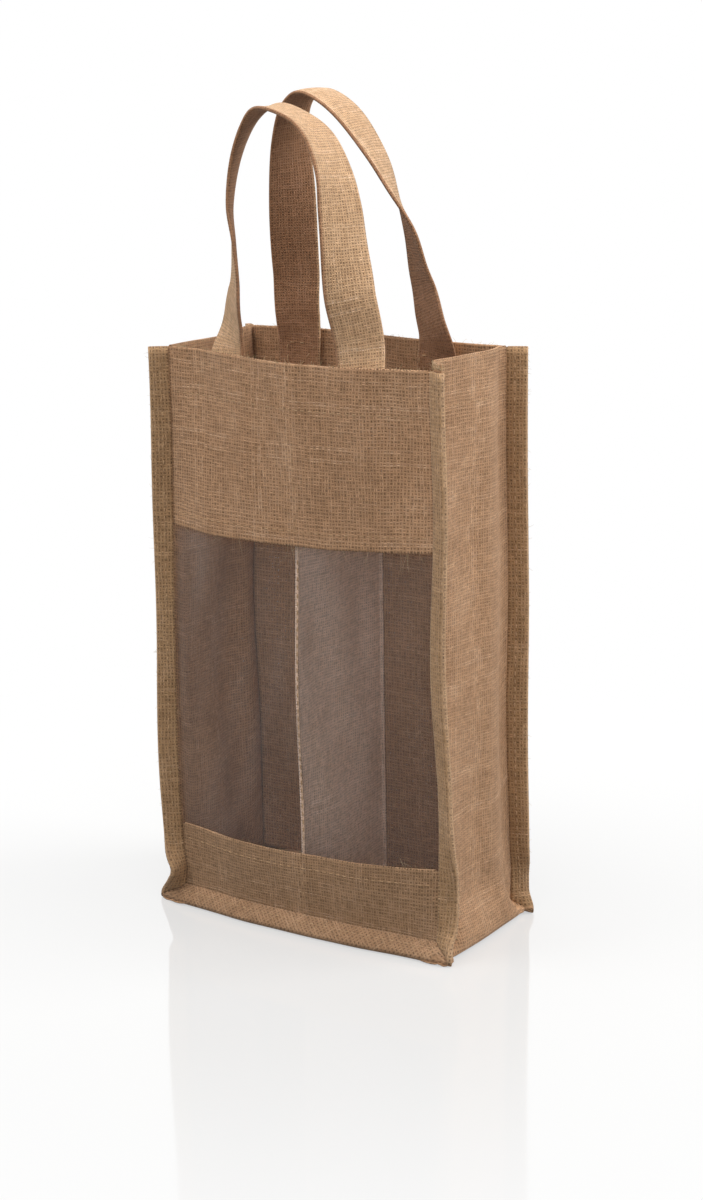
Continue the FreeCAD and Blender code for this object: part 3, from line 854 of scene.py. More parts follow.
@dataclass
class Panels:
    """The front wall's two pieces of cloth, its window film, and the back wall."""

    finishes: Finishes
    ripple: float = 0.7

    def build(self) -> None:
        """Makes the four pieces and puts them on the bag."""
        hem = turned_edge(SIZES.height, SIZES.hem, -1.0, 14)
        top_turn = turned_edge(SIZES.window_top, SIZES.window_turn, 1.0)
        low_turn = turned_edge(SIZES.window_bottom, SIZES.window_turn, -1.0)
        rim, sill, head = SIZES.height - SIZES.clear, SIZES.window_bottom - SIZES.clear, SIZES.window_top + SIZES.clear
        low, foot = SIZES.seam_height + 4.0, self.foot_rows()
        jute, lower = self.finishes.cloth, self.finishes.lower
        for name, wall, finish, node, first, rows, last in (
            ("front_upper_cloth", FRONT_WALL, jute, "front_upper_panel", hem, (rim, head, 34), top_turn[::-1]),
            ("front_lower_cloth", FRONT_WALL, lower, "front_lower_panel", low_turn, (sill, low, 14), foot),
            ("back_cloth", BACK_WALL, jute, "back_panel", hem, (rim, low, 90), foot),
        ):
            profile = np.concatenate([first, self.face_rows(np.linspace(*rows)), last])
            piece = put_on(wall.cloth(name, profile), finish, (node,))
        self.film()

    def face_rows(self, heights: np.ndarray) -> np.ndarray:
        """Rows of height and inset for the single outer layer."""
        return np.stack([heights, np.zeros_like(heights)], axis=-1)

    def foot_rows(self) -> np.ndarray:
        """Rows from just above the base seam line to the end of the lip in the base seam.

        Returns:
            Rows of height and inset.
        """
        near = np.linspace(SIZES.seam_height + 3.0, SIZES.seam_height - 3.0, 8)
        lip = np.linspace(SIZES.seam_height - 3.0, SIZES.seam_height - SIZES.lip, 6)[1:]
        return self.face_rows(np.concatenate([near, lip]))

    def film(self) -> None:
        """The window film: a sheet behind the turned edges, rippled by sines that fade at its sewn edges."""
        low, high = SIZES.window_bottom - SIZES.film_overlap, SIZES.window_top + SIZES.film_overlap
        heights = np.linspace(low, high, 70)[:, None]
        columns = FRONT_WALL.cut_lines(SIZES.lip - 1.0)
        free = ease((heights - low - 12.0) / 25.0) * ease((high - 12.0 - heights) / 25.0)
        free = free * ease((SIZES.half_width - SIZES.seam_room - np.abs(columns)) / 15.0)
        long_wave = np.sin(TURN * (columns / 58.0 + heights / 190.0))
        short_wave = np.sin(TURN * (columns / 27.0 - heights / 75.0 + 0.3))
        ripple = self.ripple * free * (long_wave + 0.7 * short_wave)
        depth = 2.0 * SIZES.layer - 0.2 + 0.8 * free + ripple * 0.5
        points = FRONT_WALL.surface(columns[None, :], heights, depth)
        piece = sheet_object("window_sheet", DRAPE(points), flat_cut(columns, heights), SIZES.film)
        put_on(piece, self.finishes.film, ("window_film",))


@dataclass
class Gusset:
    """The strip that makes the left side, the base and the right side, with a hem at each rim."""

    finishes: Finishes
    corner: float = 3.0
    crease: float = 11.0
    dish_edge: float = 33.0
    turn: float = 1.6
    skirt: float = 10.5
    heel: float = 5.0
    lip_short: float = 1.5

    def surface(self, leg: np.ndarray, share: np.ndarray, inset: np.ndarray, across: np.ndarray) -> np.ndarray:
        """Places of the strip's flat cut on the sewn bag, before it hangs.

        The strip's middle goes down the left side, along the base and up the right side with rounded corners. Its
        edges turn the base corner higher, by a dish that rises at 45 degrees to the base seam, and the lips go
        on past the seam line along the flanges: outwards from the path and away from the middle. Near the fold
        at each end of the base, dish and flange flatten out, so that the fold is straight from ear to ear, and
        the sides spread to it like a skirt, from higher up in the middle than beside the seams.

        Args:
            leg: -1 on the left side, 0 on the base, 1 on the right side.
            share: share of the side's height, or of the base's length from the left.
            inset: distance towards the inside of the bag.
            across: place across the strip, 0 in the middle.

        Returns:
            Points in millimetres.
        """
        leg, share, inset, across = np.broadcast_arrays(leg, share, inset, across)
        face = np.where(across < 0.0, -1.0, 1.0)
        half = SIZES.half_width + SIZES.seam_gap
        past, _ = fold(np.abs(across) - SIZES.half_depth, self.turn)
        flat = np.abs(across) - past
        dish = np.minimum(fold(flat - self.dish_edge, 3.0)[0], SIZES.seam_height)
        tall = SIZES.height - dish
        run = np.where(leg < 0, -share * tall, np.where(leg > 0, 2.0 * half + share * tall, 2.0 * half * share))
        crease = np.maximum(hump(run, 0.0, self.crease), hump(run, 2.0 * half, self.crease))
        lift = dish * (1.0 - crease) + SIZES.cloth / 2.0
        right_of_left, turn_left = fold(run, self.corner)
        past_right, turn_right = fold(run - 2.0 * half, self.corner)
        above_left, up_left = fold(-run, self.corner)
        x = -half + right_of_left - past_right
        z = lift + above_left + past_right
        along = unit(np.stack([turn_left - turn_right, turn_right - up_left], axis=-1))
        out_x, out_z = along[..., 1], -along[..., 0]
        lean = np.where(across < 0.0, lean_at(Face.FRONT, x, z), lean_at(Face.BACK, x, z))
        flattened = np.where(leg == 0, crease, 1.0 - ease((z - SIZES.cloth / 2.0) / self.heel))
        lean = lean * (1.0 - flattened) + 0.5 * np.pi * flattened
        step = past * np.cos(lean) - inset
        low = SIZES.seam_height
        stands = np.where(across < 0.0, FRONT_WALL.stands(x, low), BACK_WALL.stands(x, low)) / SIZES.half_depth
        skirt_top = 38.0 - 27.0 * ease((flat - 26.0) / 18.0)
        spread = self.skirt * ease((np.abs(x) - 66.0) / 34.0) * (1.0 - ease(z / skirt_top))
        x = x + np.sign(x) * spread * (1.0 - 0.5 * ease(past / 6.0))
        return np.stack([x + step * out_x, face * (flat * stands + past * np.sin(lean)), z + step * out_z], axis=-1)

    def build(self) -> None:
        """Makes the strip from hem to hem and puts it on the bag."""
        hem = turned_edge(SIZES.height, SIZES.hem, -1.0, 12)
        side = self.stations((SIZES.height - SIZES.clear, 45.0, 70), (42.0, 8.0, 18), (7.0, 0.0, 12))
        rows = np.concatenate([hem, np.stack([side, np.zeros_like(side)], axis=-1)])
        base = np.concatenate(
            [np.linspace(0.0, 0.12, 14)[1:], np.linspace(0.12, 0.88, 40)[1:-1], np.linspace(0.88, 1.0, 14)]
        )
        leg = np.concatenate([np.full(len(rows), -1), np.zeros(len(base), int), np.full(len(rows), 1)[:-1]])
        share = np.concatenate([rows[:, 0] / SIZES.height, base, rows[::-1, 0][1:] / SIZES.height])
        inset = np.concatenate([rows[:, 1], np.zeros(len(base)), rows[::-1, 1][1:]])
        half, edge = SIZES.half_depth, self.dish_edge
        outer = self.stations(
            (0.0, edge - 3.0, 16),
            (edge - 2.0, half - 2.0, 9),
            (half - SIZES.clear, half + 3.0, 8),
            (half + 4.0, half + SIZES.lip - self.lip_short, 6),
        )
        columns = np.concatenate([-outer[:0:-1], outer])
        points = self.surface(leg[:, None], share[:, None], inset[:, None], columns[None, :])
        run = run_along(points[:, len(outer) - 1])
        keep = kept_squares(columns, inset, half)
        piece = sheet_object("gusset_cloth", DRAPE(points), flat_cut(columns, run[:, None]), SIZES.cloth, keep)
        put_on(piece, self.finishes.side, ("gusset",))

    def stations(self, *spans: tuple[float, float, int]) -> np.ndarray:
        """Values along a line, from spans of a start, an end and a count."""
        return np.concatenate([np.linspace(*span) for span in spans])


@dataclass
class Divider:
    """The wall of cloth between the two pockets, with a turned tab at the front and at the back."""

    finishes: Finishes
    front: float = -50.1
    back: float = 45.6
    bulge: float = 3.0
    lift: float = 1.4
    tab: float = 2.6
    # Places in X and Y of the soft turn from a tab to the web.
    bend: tuple[tuple[float, float], ...] = ((0.45, 0.15), (0.12, 0.5))

    def build(self) -> None:
        """Makes the divider: a plan path of tab, web and tab, carried up from the base and bent by sines."""
        front, back = self.front, self.back
        tab = np.linspace(self.tab, 1.2, 6)
        soft = np.array(self.bend)
        x = np.concatenate([tab, soft[:, 0]])
        y = np.concatenate([np.zeros_like(tab), soft[:, 1]])
        plan = np.stack(
            [
                np.concatenate([x, np.zeros(42), x[::-1]]),
                np.concatenate([front + y, np.linspace(front, back, 44)[1:-1], back - y[::-1]]),
            ],
            axis=-1,
        )
        run = run_along(plan)
        heights = np.linspace(self.lift, SIZES.divider_top, 66)
        x, y, z = np.broadcast_arrays(plan[None, :, 0], plan[None, :, 1], heights[:, None])
        free = ease((y - front - 4.0) / 22.0) * ease((back - 4.0 - y) / 22.0) * ease((z - 4.0) / 30.0)
        drawn = FRONT_WALL.stands(np.zeros(1), z) - FRONT_WALL.stands(np.zeros(1), SIZES.height)
        y = y - drawn * (back - y) / (back - front)
        bent = free * self.bulge * (np.sin(TURN * (z / 240.0 + 0.1)) + 0.5 * np.sin(TURN * (y / 60.0 + z / 150.0)))
        points = np.stack([x + bent, y, z], axis=-1)
        piece = sheet_object("divider_cloth", DRAPE(points), flat_cut(run, heights[:, None]), SIZES.cloth)
        put_on(piece, self.finishes.lining, ("divider",))


@dataclass
class Bindings:
    """The six folded strips over the seams: four upright ones and two along the base."""

    finishes: Finishes
    start: float = 0.8
    side_gap: float = 1.55
    base_gap: float = 1.9
    puff: float = 0.4
    thickness: float = 0.75
    mitre_gap: float = 0.1
    rim_drop: float = 5.5

    def off(self, reach: np.ndarray, gap: float, end: float) -> np.ndarray:
        """How far a strip's layer lies from the flange's middle: a gap, puffed by half a sine."""
        share = np.clip((reach - self.start) / (end - self.start), 0.0, 1.0)
        return gap + self.puff * np.sin(np.pi * share)

    def profile(self, gap: float) -> tuple[np.ndarray, np.ndarray]:
        """Section of a strip folded over a seam: out along one face, round the fold and back along the other.

        Args:
            gap: distance of each layer from the flange's middle.

        Returns:
            Distance out along the flange, and distance from its middle towards the broad wall's outside.
        """
        end = SIZES.lip + 0.4 * gap + 0.2
        out = np.linspace(self.start, end - gap, 10)
        around = np.linspace(0.5 * np.pi, -0.5 * np.pi, 9)[1:-1]
        bend = self.off(np.array(end - gap), gap, end) * np.sin(around)
        reach = np.concatenate([out, end - gap + gap * np.cos(around), out[::-1]])
        return reach, np.concatenate([self.off(out, gap, end), bend, -self.off(out[::-1], gap, end)])

    def upright(self, face: Face, hand: Hand) -> Object:
        """One upright strip: the profile carried down the corner, to the mitre where X plus Z is constant.

        Args:
            face: the broad wall that it belongs to.
            hand: the end that it stands at.

        Returns:
            The strip with its thickness.
        """
        reach, offset = self.profile(self.side_gap)
        low = SIZES.seam_height - reach * math.cos(FOOT) + offset * math.sin(FOOT) + self.mitre_gap
        top = SIZES.height - (self.rim_drop if (face, hand) == (Face.FRONT, Hand.RIGHT) else 0.0)
        share = np.concatenate([np.linspace(0.0, 0.8, 60), np.linspace(0.8, 1.0, 44)[1:]])[:, None]
        height = top + (low[None, :] - top) * share
        points = FLANGES[face, hand].place(reach, offset, height)
        flip = -1 if hand.value * face.value > 0 else 1
        return self.strip(f"{face.name}_{hand.name}_tape".lower(), points, self.side_gap, height, flip)

    def base(self, face: Face) -> Object:
        """One base strip: the profile carried along the base seam, and turned at each end as the upright strip is.

        Args:
            face: the broad wall that it belongs to.

        Returns:
            The strip with its thickness.
        """
        reach, offset = self.profile(self.base_gap)
        inward = reach * math.cos(FOOT) - offset * math.sin(FOOT)
        share = np.concatenate(
            [np.linspace(-1.0, -0.9, 12), np.linspace(-0.9, 0.9, 70)[1:-1], np.linspace(0.9, 1.0, 12)]
        )
        x, z = np.broadcast_arrays(share[:, None] * (SIZES.half_width + inward), SIZES.seam_height - inward)
        lean = FOOT + (lean_at(face, x, z) - FOOT) * ease((np.abs(share) - 0.86) / 0.14)[:, None]
        y = WALLS[face].stands(x, SIZES.seam_height) + reach * np.sin(lean) + offset * np.cos(lean)
        x = x + np.sign(x) * (reach * np.cos(lean) - offset * np.sin(lean) - inward)
        points = np.stack([x, face.value * y, z], axis=-1)
        return self.strip(f"{face.name}_base_tape".lower(), points, self.base_gap, x, face.value)

    def strip(self, name: str, points: np.ndarray, gap: float, along: np.ndarray, flip: int) -> Object:
        """Makes a strip's mesh from its grid, with 0 across its cut at the fold.

        Args:
            name: the piece's name.
            points: grid of stations along the seam and places round the profile.
            gap: distance of each layer from the flange's middle.
            along: place along the strip, for the cut.
            flip: -1 where the grid's faces would point inwards.

        Returns:
            The strip with its thickness.
        """
        reach, offset = self.profile(gap)
        run = run_along(np.stack([reach, offset], axis=-1))
        cut = flat_cut(run - run[np.argmax(reach)], along)
        return sheet_object(name, DRAPE(points)[:, ::flip], cut[:, ::flip], self.thickness)

    def width(self, gap: float) -> float:
        """Flat width of a strip, which is the length of its section."""
        return float(run_along(np.stack(self.profile(gap), axis=-1))[-1])

    def build(self) -> None:
        """Makes the six strips and puts them on the bag."""
        side_width, base_width = self.width(self.side_gap), self.width(self.base_gap)
        for face in Face:
            for hand in Hand:
                node = f"{face.name}_{hand.name}_binding".lower()
                piece = put_on(self.upright(face, hand), self.finishes.binding, (node,))
            node = f"{face.name}_base_binding".lower()
            piece = put_on(self.base(face), self.finishes.bias, (node,))


@dataclass
class Handle:
    """One strap: two tails sewn inside the hem and a loop that twists to lie flat at the top.

    Each station is X, height and twist in degrees, from the right tail over the top to the left tail.
    """

    finishes: Finishes
    face: Face
    fold_y: float
    lean: float
    slope: float
    stations: tuple[tuple[float, float, float], ...]
    width: float = 30.5
    cup: float = 0.9
    slack: float = 1.0
    half_bend: float = 6.0
    rows: int = 230

    def centre_line(self) -> tuple[np.ndarray, np.ndarray]:
        """Points of the strap's middle, and the direction of its width there.

        A smooth curve goes through the stations in X and height. Above the hinge line it leans inwards by a fixed
        angle. The sewn tail doesn't twist, and where the twist starts behind the hem the strap swings in, so that
        its outer edge stays inside. The width lies along the wall where the twist is 0, square to the run, and
        points to the front or back where the twist is a quarter turn.

        Returns:
            Points, and width directions of length 1.
        """
        side = self.face.value
        x, z, twist = smooth_curve(np.array(self.stations), 24).T
        y = self.fold_y - side * math.tan(math.radians(self.lean)) * np.maximum(z - SIZES.hinge_height, 0.0)
        line = np.stack([x, y, z, np.radians(twist)], axis=-1)
        line = sample(line, spaced(line[:, :3], self.rows))
        points, height = line[:, :3], line[:, 2] - SIZES.height
        twist = line[:, 3] * ease((height + 22.0) / 34.0)
        swing = 0.5 * self.width * np.abs(np.sin(twist)) + self.slack
        points[:, 1] -= side * swing * (1.0 - ease((height + 2.0) / 40.0))
        run = unit(np.gradient(points, axis=0))
        low = 1.0 - ease(height / 30.0)
        out = side * (np.sin(twist) + self.slope * low)
        return points, unit(np.stack([-run[:, 2] * np.cos(twist), out, run[:, 0] * np.cos(twist)], axis=-1))

    def hang(self, points: np.ndarray) -> np.ndarray:
        """Moves the strap as the wall that carries it moves, in Y and Z, and with the rim above it.

        Args:
            points: places on the strap.

        Returns:
            The moved points.
        """
        held = np.copy(points)
        held[..., 1] = self.fold_y
        held[..., 2] = np.minimum(points[..., 2], SIZES.height)
        moved = DRAPE(held) - held
        moved[..., 0] = 0.0
        return points + moved

    def build(self) -> None:
        """Makes the strap: a rounded flat section, slightly cupped, carried along the centre line."""
        points, wide = self.centre_line()
        run = unit(np.gradient(points, axis=0))
        wide = unit(wide - run * np.sum(wide * run, axis=-1, keepdims=True))
        deep = np.cross(run, wide)
        half, thin = self.width / 2.0, SIZES.strap_thickness / 2.0
        flat = np.linspace(-half + thin, half - thin, 13)
        level = np.full_like(flat, thin)
        bend = np.linspace(-0.5 * np.pi, 0.5 * np.pi, 6)[1:-1]
        edge, rise = half - thin + thin * np.cos(bend), thin * np.sin(bend)
        side_out = np.concatenate([flat, edge, flat[::-1], -edge])
        side_deep = np.concatenate([-level, rise, level, -rise])
        loose = ease((points[:, 2] - SIZES.hinge_height) / 40.0)
        bowed = side_deep[None, :] + self.cup * loose[:, None] * ((side_out / half) ** 2 - 0.4)[None, :]
        grid = self.hang(points)[:, None] + wide[:, None] * side_out[None, :, None] + deep[:, None] * bowed[..., None]
        length = run_along(points)
        around = run_along(np.stack([side_out, side_deep], axis=-1))
        around = np.append(around, around[-1] + thin)
        if self.face is Face.FRONT:
            around = around[-1] - around
        name = self.face.name.lower()
        piece = sheet_object(f"{name}_strap", grid, flat_cut(around, length[:, None]), closed=True)
        piece.data.materials.append(self.finishes.strap)
        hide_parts(f"{name}_handle_loop", f"{name}_handle_left_end", f"{name}_handle_right_end")
        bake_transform(piece)
        LOG.info("%s: %d faces, bends from bag to %s_handle", piece.name, len(piece.data.polygons), name)


FRONT_STATIONS = (
    (50.0, 326.0, 3.0),
    (50.0, 350.0, 6.0),
    (48.0, 365.0, 12.0),
    (45.0, 383.0, 20.0),
    (41.5, 403.0, 36.0),
    (37.0, 428.0, 58.0),
    (33.0, 452.0, 67.0),
    (28.0, 472.0, 80.0),
    (17.0, 492.0, 88.0),
    (2.0, 504.0, 91.0),
    (-19.0, 510.0, 86.0),
    (-33.0, 501.0, 73.0),
    (-43.0, 480.0, 65.0),
    (-47.0, 453.0, 59.0),
    (-44.0, 430.0, 53.0),
    (-42.5, 406.0, 46.0),
    (-46.5, 386.0, 34.0),
    (-51.0, 366.0, 18.0),
    (-50.0, 352.0, 8.0),
    (-50.0, 326.0, 3.0),
)
BACK_STATIONS = (
    (47.0, 326.0, 3.0),
    (47.0, 352.0, 10.0),
    (48.0, 367.0, 22.0),
    (42.5, 387.0, 27.0),
    (37.0, 409.0, 37.0),
    (33.0, 432.0, 47.0),
    (24.0, 455.0, 66.0),
    (14.0, 477.0, 82.0),
    (-3.0, 500.0, 92.0),
    (-20.0, 512.5, 94.0),
    (-35.0, 515.5, 92.0),
    (-46.5, 505.0, 87.0),
    (-52.0, 484.0, 74.0),
    (-54.0, 455.0, 52.0),
    (-56.0, 425.0, 34.0),
    (-57.0, 396.0, 20.0),
    (-57.0, 380.0, 14.0),
    (-56.5, 366.0, 11.0),
    (-57.0, 350.0, 6.0),
    (-57.0, 326.0, 3.0),
)


@dataclass
class Stitching:
    """The rows of stitches that hold the hems, the window, the seams, the divider and the strap ends."""

    finishes: Finishes
    pitch: float = 5.0
    length: float = 3.7
    half_width: float = 0.42
    half_height: float = 0.3
    sunk: float = 0.05
    hem_row: float = 28.0
    window_row: float = 9.0
    seam_row: float = 6.0
    # Half the width of the box on a strap's end, and its lowest and highest row.
    box: tuple[float, float, float] = (11.0, 331.0, 357.0)

    def row(self, outer: np.ndarray, inner: np.ndarray) -> np.ndarray:
        """Stitches along a line: each a small strand of four rings, whose ends dip into the cloth.

        A ring's point is the station plus the run times its place along the stitch, plus the width direction times
        the cosine and the normal times the sine of its angle.

        Args:
            outer: points of the line just off the cloth.
            inner: the same points deeper in the cloth, which gives the normal.

        Returns:
            Vertices by stitch, ring and side.
        """
        at = spaced(outer, max(int(run_along(outer)[-1] / self.pitch), 2))
        at = 0.5 * (at[:-1] + at[1:])
        centre, run, normal = (sample(line, at) for line in (outer, np.gradient(outer, axis=0), outer - inner))
        run = unit(run)
        normal = unit(normal - run * np.sum(run * normal, axis=-1, keepdims=True))
        wide = np.cross(run, normal)
        place = np.array([-0.5, -0.3, 0.3, 0.5]) * self.length
        size = np.array([0.4, 1.0, 1.0, 0.4])
        dip = np.array([-0.4, 0.0, 0.0, -0.4])
        angle = np.arange(6) * np.pi / 3.0
        flat = self.half_width * size[:, None] * np.cos(angle)
        high = self.half_height * size[:, None] * np.sin(angle) + dip[:, None]
        return (
            centre[:, None, None]
            + run[:, None, None] * place[None, :, None, None]
            + wide[:, None, None] * flat[None, :, :, None]
            + normal[:, None, None] * high[None, :, :, None]
        )

    def sew(self, name: str, node: str, rows: list[Row]) -> None:
        """Makes one piece of several rows, each of outer and inner points, and puts it on the bag."""
        points = np.concatenate([self.row(DRAPE(outer), DRAPE(inner)) for outer, inner in rows])
        strands(name, points, self.finishes.thread, (node,))

    def on_wall(self, wall: Wall, start: Place, end: Place, depth: float = 0.0, deeper: bool = False) -> Row:
        """A row on a broad wall, from one place of its cut to another.

        Args:
            wall: the wall.
            start: place across and height where the row starts.
            end: place across and height where it ends.
            depth: 0 for a row on the outside, or the depth of the layer whose inside carries it.
            deeper: whether the row is seen from outside though it lies at a depth.

        Returns:
            Points just off the cloth and the same points deeper in it.
        """
        across, up = (np.linspace(a, b, 120) for a, b in zip(start, end))
        gap = SIZES.cloth / 2.0 - self.sunk
        off = depth if deeper else depth + (gap if depth else -gap)
        inner = off + (-1.0 if depth and not deeper else 1.0)
        return wall.surface(across, up, off), wall.surface(across, up, inner)

    def build(self) -> None:
        """Sews every row, group by group."""
        self.sew("rim_stitches", "rim_stitching", self.rim_rows())
        reach = SIZES.half_width - SIZES.seam_room
        heights = (SIZES.window_top + self.window_row, SIZES.window_bottom - self.window_row)
        window = [self.on_wall(FRONT_WALL, (-reach, z), (reach, z)) for z in heights]
        self.sew("window_stitches", "window_stitching", window)
        tab, low, high = Divider.tab / 2.0 + 0.5, 14.0, SIZES.divider_top - 3.0
        film, turned = 2.0 * SIZES.layer + 0.2, 8.0
        divider = [
            self.on_wall(FRONT_WALL, (tab, SIZES.window_top + turned), (tab, high)),
            self.on_wall(FRONT_WALL, (tab, low), (tab, SIZES.window_bottom - turned)),
            self.on_wall(
                FRONT_WALL, (tab, SIZES.window_bottom + turned), (tab, SIZES.window_top - turned), film, deeper=True
            ),
            self.on_wall(BACK_WALL, (tab, low), (tab, high)),
        ]
        self.sew("divider_stitches", "divider_stitching", divider)
        inside = SIZES.layer + SIZES.strap_thickness + Handle.slack + 0.5
        half, bottom, top = self.box
        for face, strap in ((Face.FRONT, FRONT_STATIONS), (Face.BACK, BACK_STATIONS)):
            name = face.name.lower()
            self.sew(f"{name}_seam_stitches", f"{name}_seam_stitching", self.seam_rows(face))
            boxes = []
            for x, *_ in (strap[0], strap[-1]):
                left, right = x - half, x + half
                path = [(left, bottom), (right, bottom), (right, top), (left, top), (left, bottom), (right, top)]
                boxes += [self.on_wall(WALLS[face], a, b, inside) for a, b in zip(path, path[1:])]
            self.sew(f"{name}_strap_stitches", f"{name}_handle_stitching", boxes)

    def rim_rows(self) -> list[Row]:
        """Rows round the rim, on the outside of the hem and on its inside.

        Returns:
            Outer and inner points of each row.
        """
        hem, gusset = SIZES.height - self.hem_row, Gusset(self.finishes)
        reach, near = SIZES.half_width - SIZES.seam_room, SIZES.half_depth - SIZES.seam_room
        rows = [
            self.on_wall(wall, (-reach, hem), (reach, hem), depth)
            for wall in (FRONT_WALL, BACK_WALL)
            for depth in (0.0, SIZES.layer)
        ]
        across = np.linspace(-near, near, 80)
        for leg in (-1, 1):
            for pair in ((-0.5, 0.5), (SIZES.layer + 0.5, SIZES.layer - 0.5)):
                rows.append(tuple(gusset.surface(leg, hem / SIZES.height, inset, across) for inset in pair))
        return rows

    def seam_rows(self, face: Face) -> list[Row]:
        """Rows along the middle of a wall's three bindings, on both faces of each.

        Args:
            face: the broad wall that it belongs to.

        Returns:
            Outer and inner points of each row.
        """
        rows, tapes, reach = [], Bindings(self.finishes), self.seam_row
        height = np.linspace(SIZES.height - 4.0, SIZES.seam_height, 160)
        x = np.linspace(-SIZES.half_width, SIZES.half_width, 120)
        side_off, base_off = (
            tapes.off(np.array(reach), gap, SIZES.lip) + tapes.thickness / 2.0 - self.sunk
            for gap in (tapes.side_gap, tapes.base_gap)
        )
        for side in (1.0, -1.0):
            for hand in Hand:
                flange = FLANGES[face, hand]
                rows.append(tuple(flange.place(reach, side * off, height) for off in (side_off, side_off - 1.0)))
            pair = []
            for far in (side * base_off, side * (base_off - 1.0)):
                y = WALLS[face].stands(x, SIZES.seam_height) + reach * math.sin(FOOT) + far * math.cos(FOOT)
                z = np.full_like(x, SIZES.seam_height - reach * math.cos(FOOT) + far * math.sin(FOOT))
                pair.append(np.stack([x, face.value * y, z], axis=-1))
            rows.append(tuple(pair))
        return rows


def strands(name: str, points: np.ndarray, material: Material, nodes: tuple[str, ...] = ()) -> None:
    """Makes many small closed strands into one piece, from their rings, and puts it on the bag.

    Args:
        name: the piece's name.
        points: vertices by strand, ring and side.
        material: the strands' finish.
        nodes: nodes that they replace.
    """
    count, rings, sides = points.shape[:3]
    ring, side = np.meshgrid(np.arange(rings - 1), np.arange(sides), indexing="ij")
    here, there = ring * sides, (ring + 1) * sides
    turn = (side + 1) % sides
    quads = np.stack([here + side, there + side, there + turn, here + turn], axis=-1)
    each = np.arange(count) * rings * sides
    faces = (each[:, None, None] + quads.reshape(1, -1, 4)).reshape(-1, 4).tolist()
    first, last = np.arange(sides), (rings - 1) * sides + np.arange(sides)[::-1]
    faces += (each[:, None] + first).tolist() + (each[:, None] + last).tolist()
    places = np.zeros((sum(len(face) for face in faces), 2))
    put_on(mesh_object(name, points.reshape(-1, 3), faces, places), material, nodes)


@dataclass
class LooseFibres:
    """Stray fibres of the jute: short ones along its edges and folds, a few long ones over the window."""

    finishes: Finishes
    radius: float = 0.11
    rim_count: int = 90
    seam_count: int = 60
    frayed_count: int = 60
    seed: int = 11

    def tuft(self, roots: np.ndarray, ways: np.ndarray, lengths: np.ndarray, chance: np.random.Generator) -> np.ndarray:
        """Bent strands: each goes along its way and swerves by a square law to a side of its own.

        Args:
            roots: where each fibre starts.
            ways: directions of length 1.
            lengths: length of each.
            chance: source of the swerves.

        Returns:
            Vertices by fibre, ring and side.
        """
        count = len(roots)
        swerve = unit(chance.normal(size=(count, 3)))
        swerve = unit(swerve - ways * np.sum(swerve * ways, axis=-1, keepdims=True))
        third = np.cross(ways, swerve)
        t = np.linspace(0.0, 1.0, 6)[None, :, None]
        curl = chance.uniform(0.2, 0.7, size=(count, 1, 1))
        middle = roots[:, None] + lengths[:, None, None] * (ways[:, None] * t + swerve[:, None] * curl * t * t)
        angle = (-np.arange(3) * TURN / 3.0)[None, None, :, None]
        thick = self.radius * (1.0 - 0.6 * t)
        ring = swerve[:, None, None] * np.cos(angle) + third[:, None, None] * np.sin(angle)
        return middle[:, :, None] + thick[..., None] * ring

    def build(self) -> None:
        """Makes the fibres of the bag and puts them on it."""
        chance = np.random.default_rng(self.seed)
        groups = []

        def grow(
            roots: np.ndarray, scatter: list | float, pull: list | np.ndarray, shortest: float, longest: float
        ) -> None:
            """Adds a group: its roots, directions scattered round a pull, and lengths."""
            ways = unit(chance.normal(size=roots.shape) * scatter + pull)
            groups.append((roots, ways, chance.uniform(shortest, longest, len(roots))))

        for wall in (FRONT_WALL, BACK_WALL):
            across = chance.uniform(-96.0, 96.0, self.rim_count)
            inset = chance.uniform(0.0, SIZES.layer, self.rim_count)
            roots = wall.surface(across, SIZES.height + 0.2, inset)
            grow(roots, [0.8, 0.8, 0.35], [0.0, 0.3 * wall.face.value, 0.55], 1.2, 4.0)
        for count, height, sideways, pull, longest in (
            (26, SIZES.window_top + 0.3, 0.7, -1.0, 16.0),
            (20, SIZES.window_bottom - 0.3, 0.8, 0.8, 9.0),
        ):
            roots = FRONT_WALL.surface(chance.uniform(-94.0, 94.0, count), height, 0.6)
            grow(roots, [sideways, 0.1, 0.4], [0.0, -0.12, pull], 2.0, longest)
        for flange in FLANGES.values():
            height = chance.uniform(14.0, SIZES.height, self.seam_count)
            lean = flange.angle(height)
            out = [flange.hand.value * np.cos(lean), flange.face.value * np.sin(lean), np.zeros_like(lean)]
            grow(flange.place(SIZES.lip + 0.9, 0.0, height), 0.6, 0.7 * np.stack(out, axis=-1), 1.0, 3.2)
        # The lip at the top of the front right corner is frayed.
        height = SIZES.height - 3.0 + chance.uniform(-2.0, 0.5, self.frayed_count)
        reach = chance.uniform(0.0, SIZES.lip, self.frayed_count)
        roots = FLANGES[Face.FRONT, Hand.RIGHT].place(reach, 0.0, height)
        grow(roots, [0.6, 0.6, 0.4], [0.1, -0.2, 0.7], 2.0, 6.0)
        root, way, length = (np.concatenate(part) for part in zip(*groups))
        strands("bag_fibres", self.tuft(DRAPE(root), way, length, chance), self.finishes.fibre)


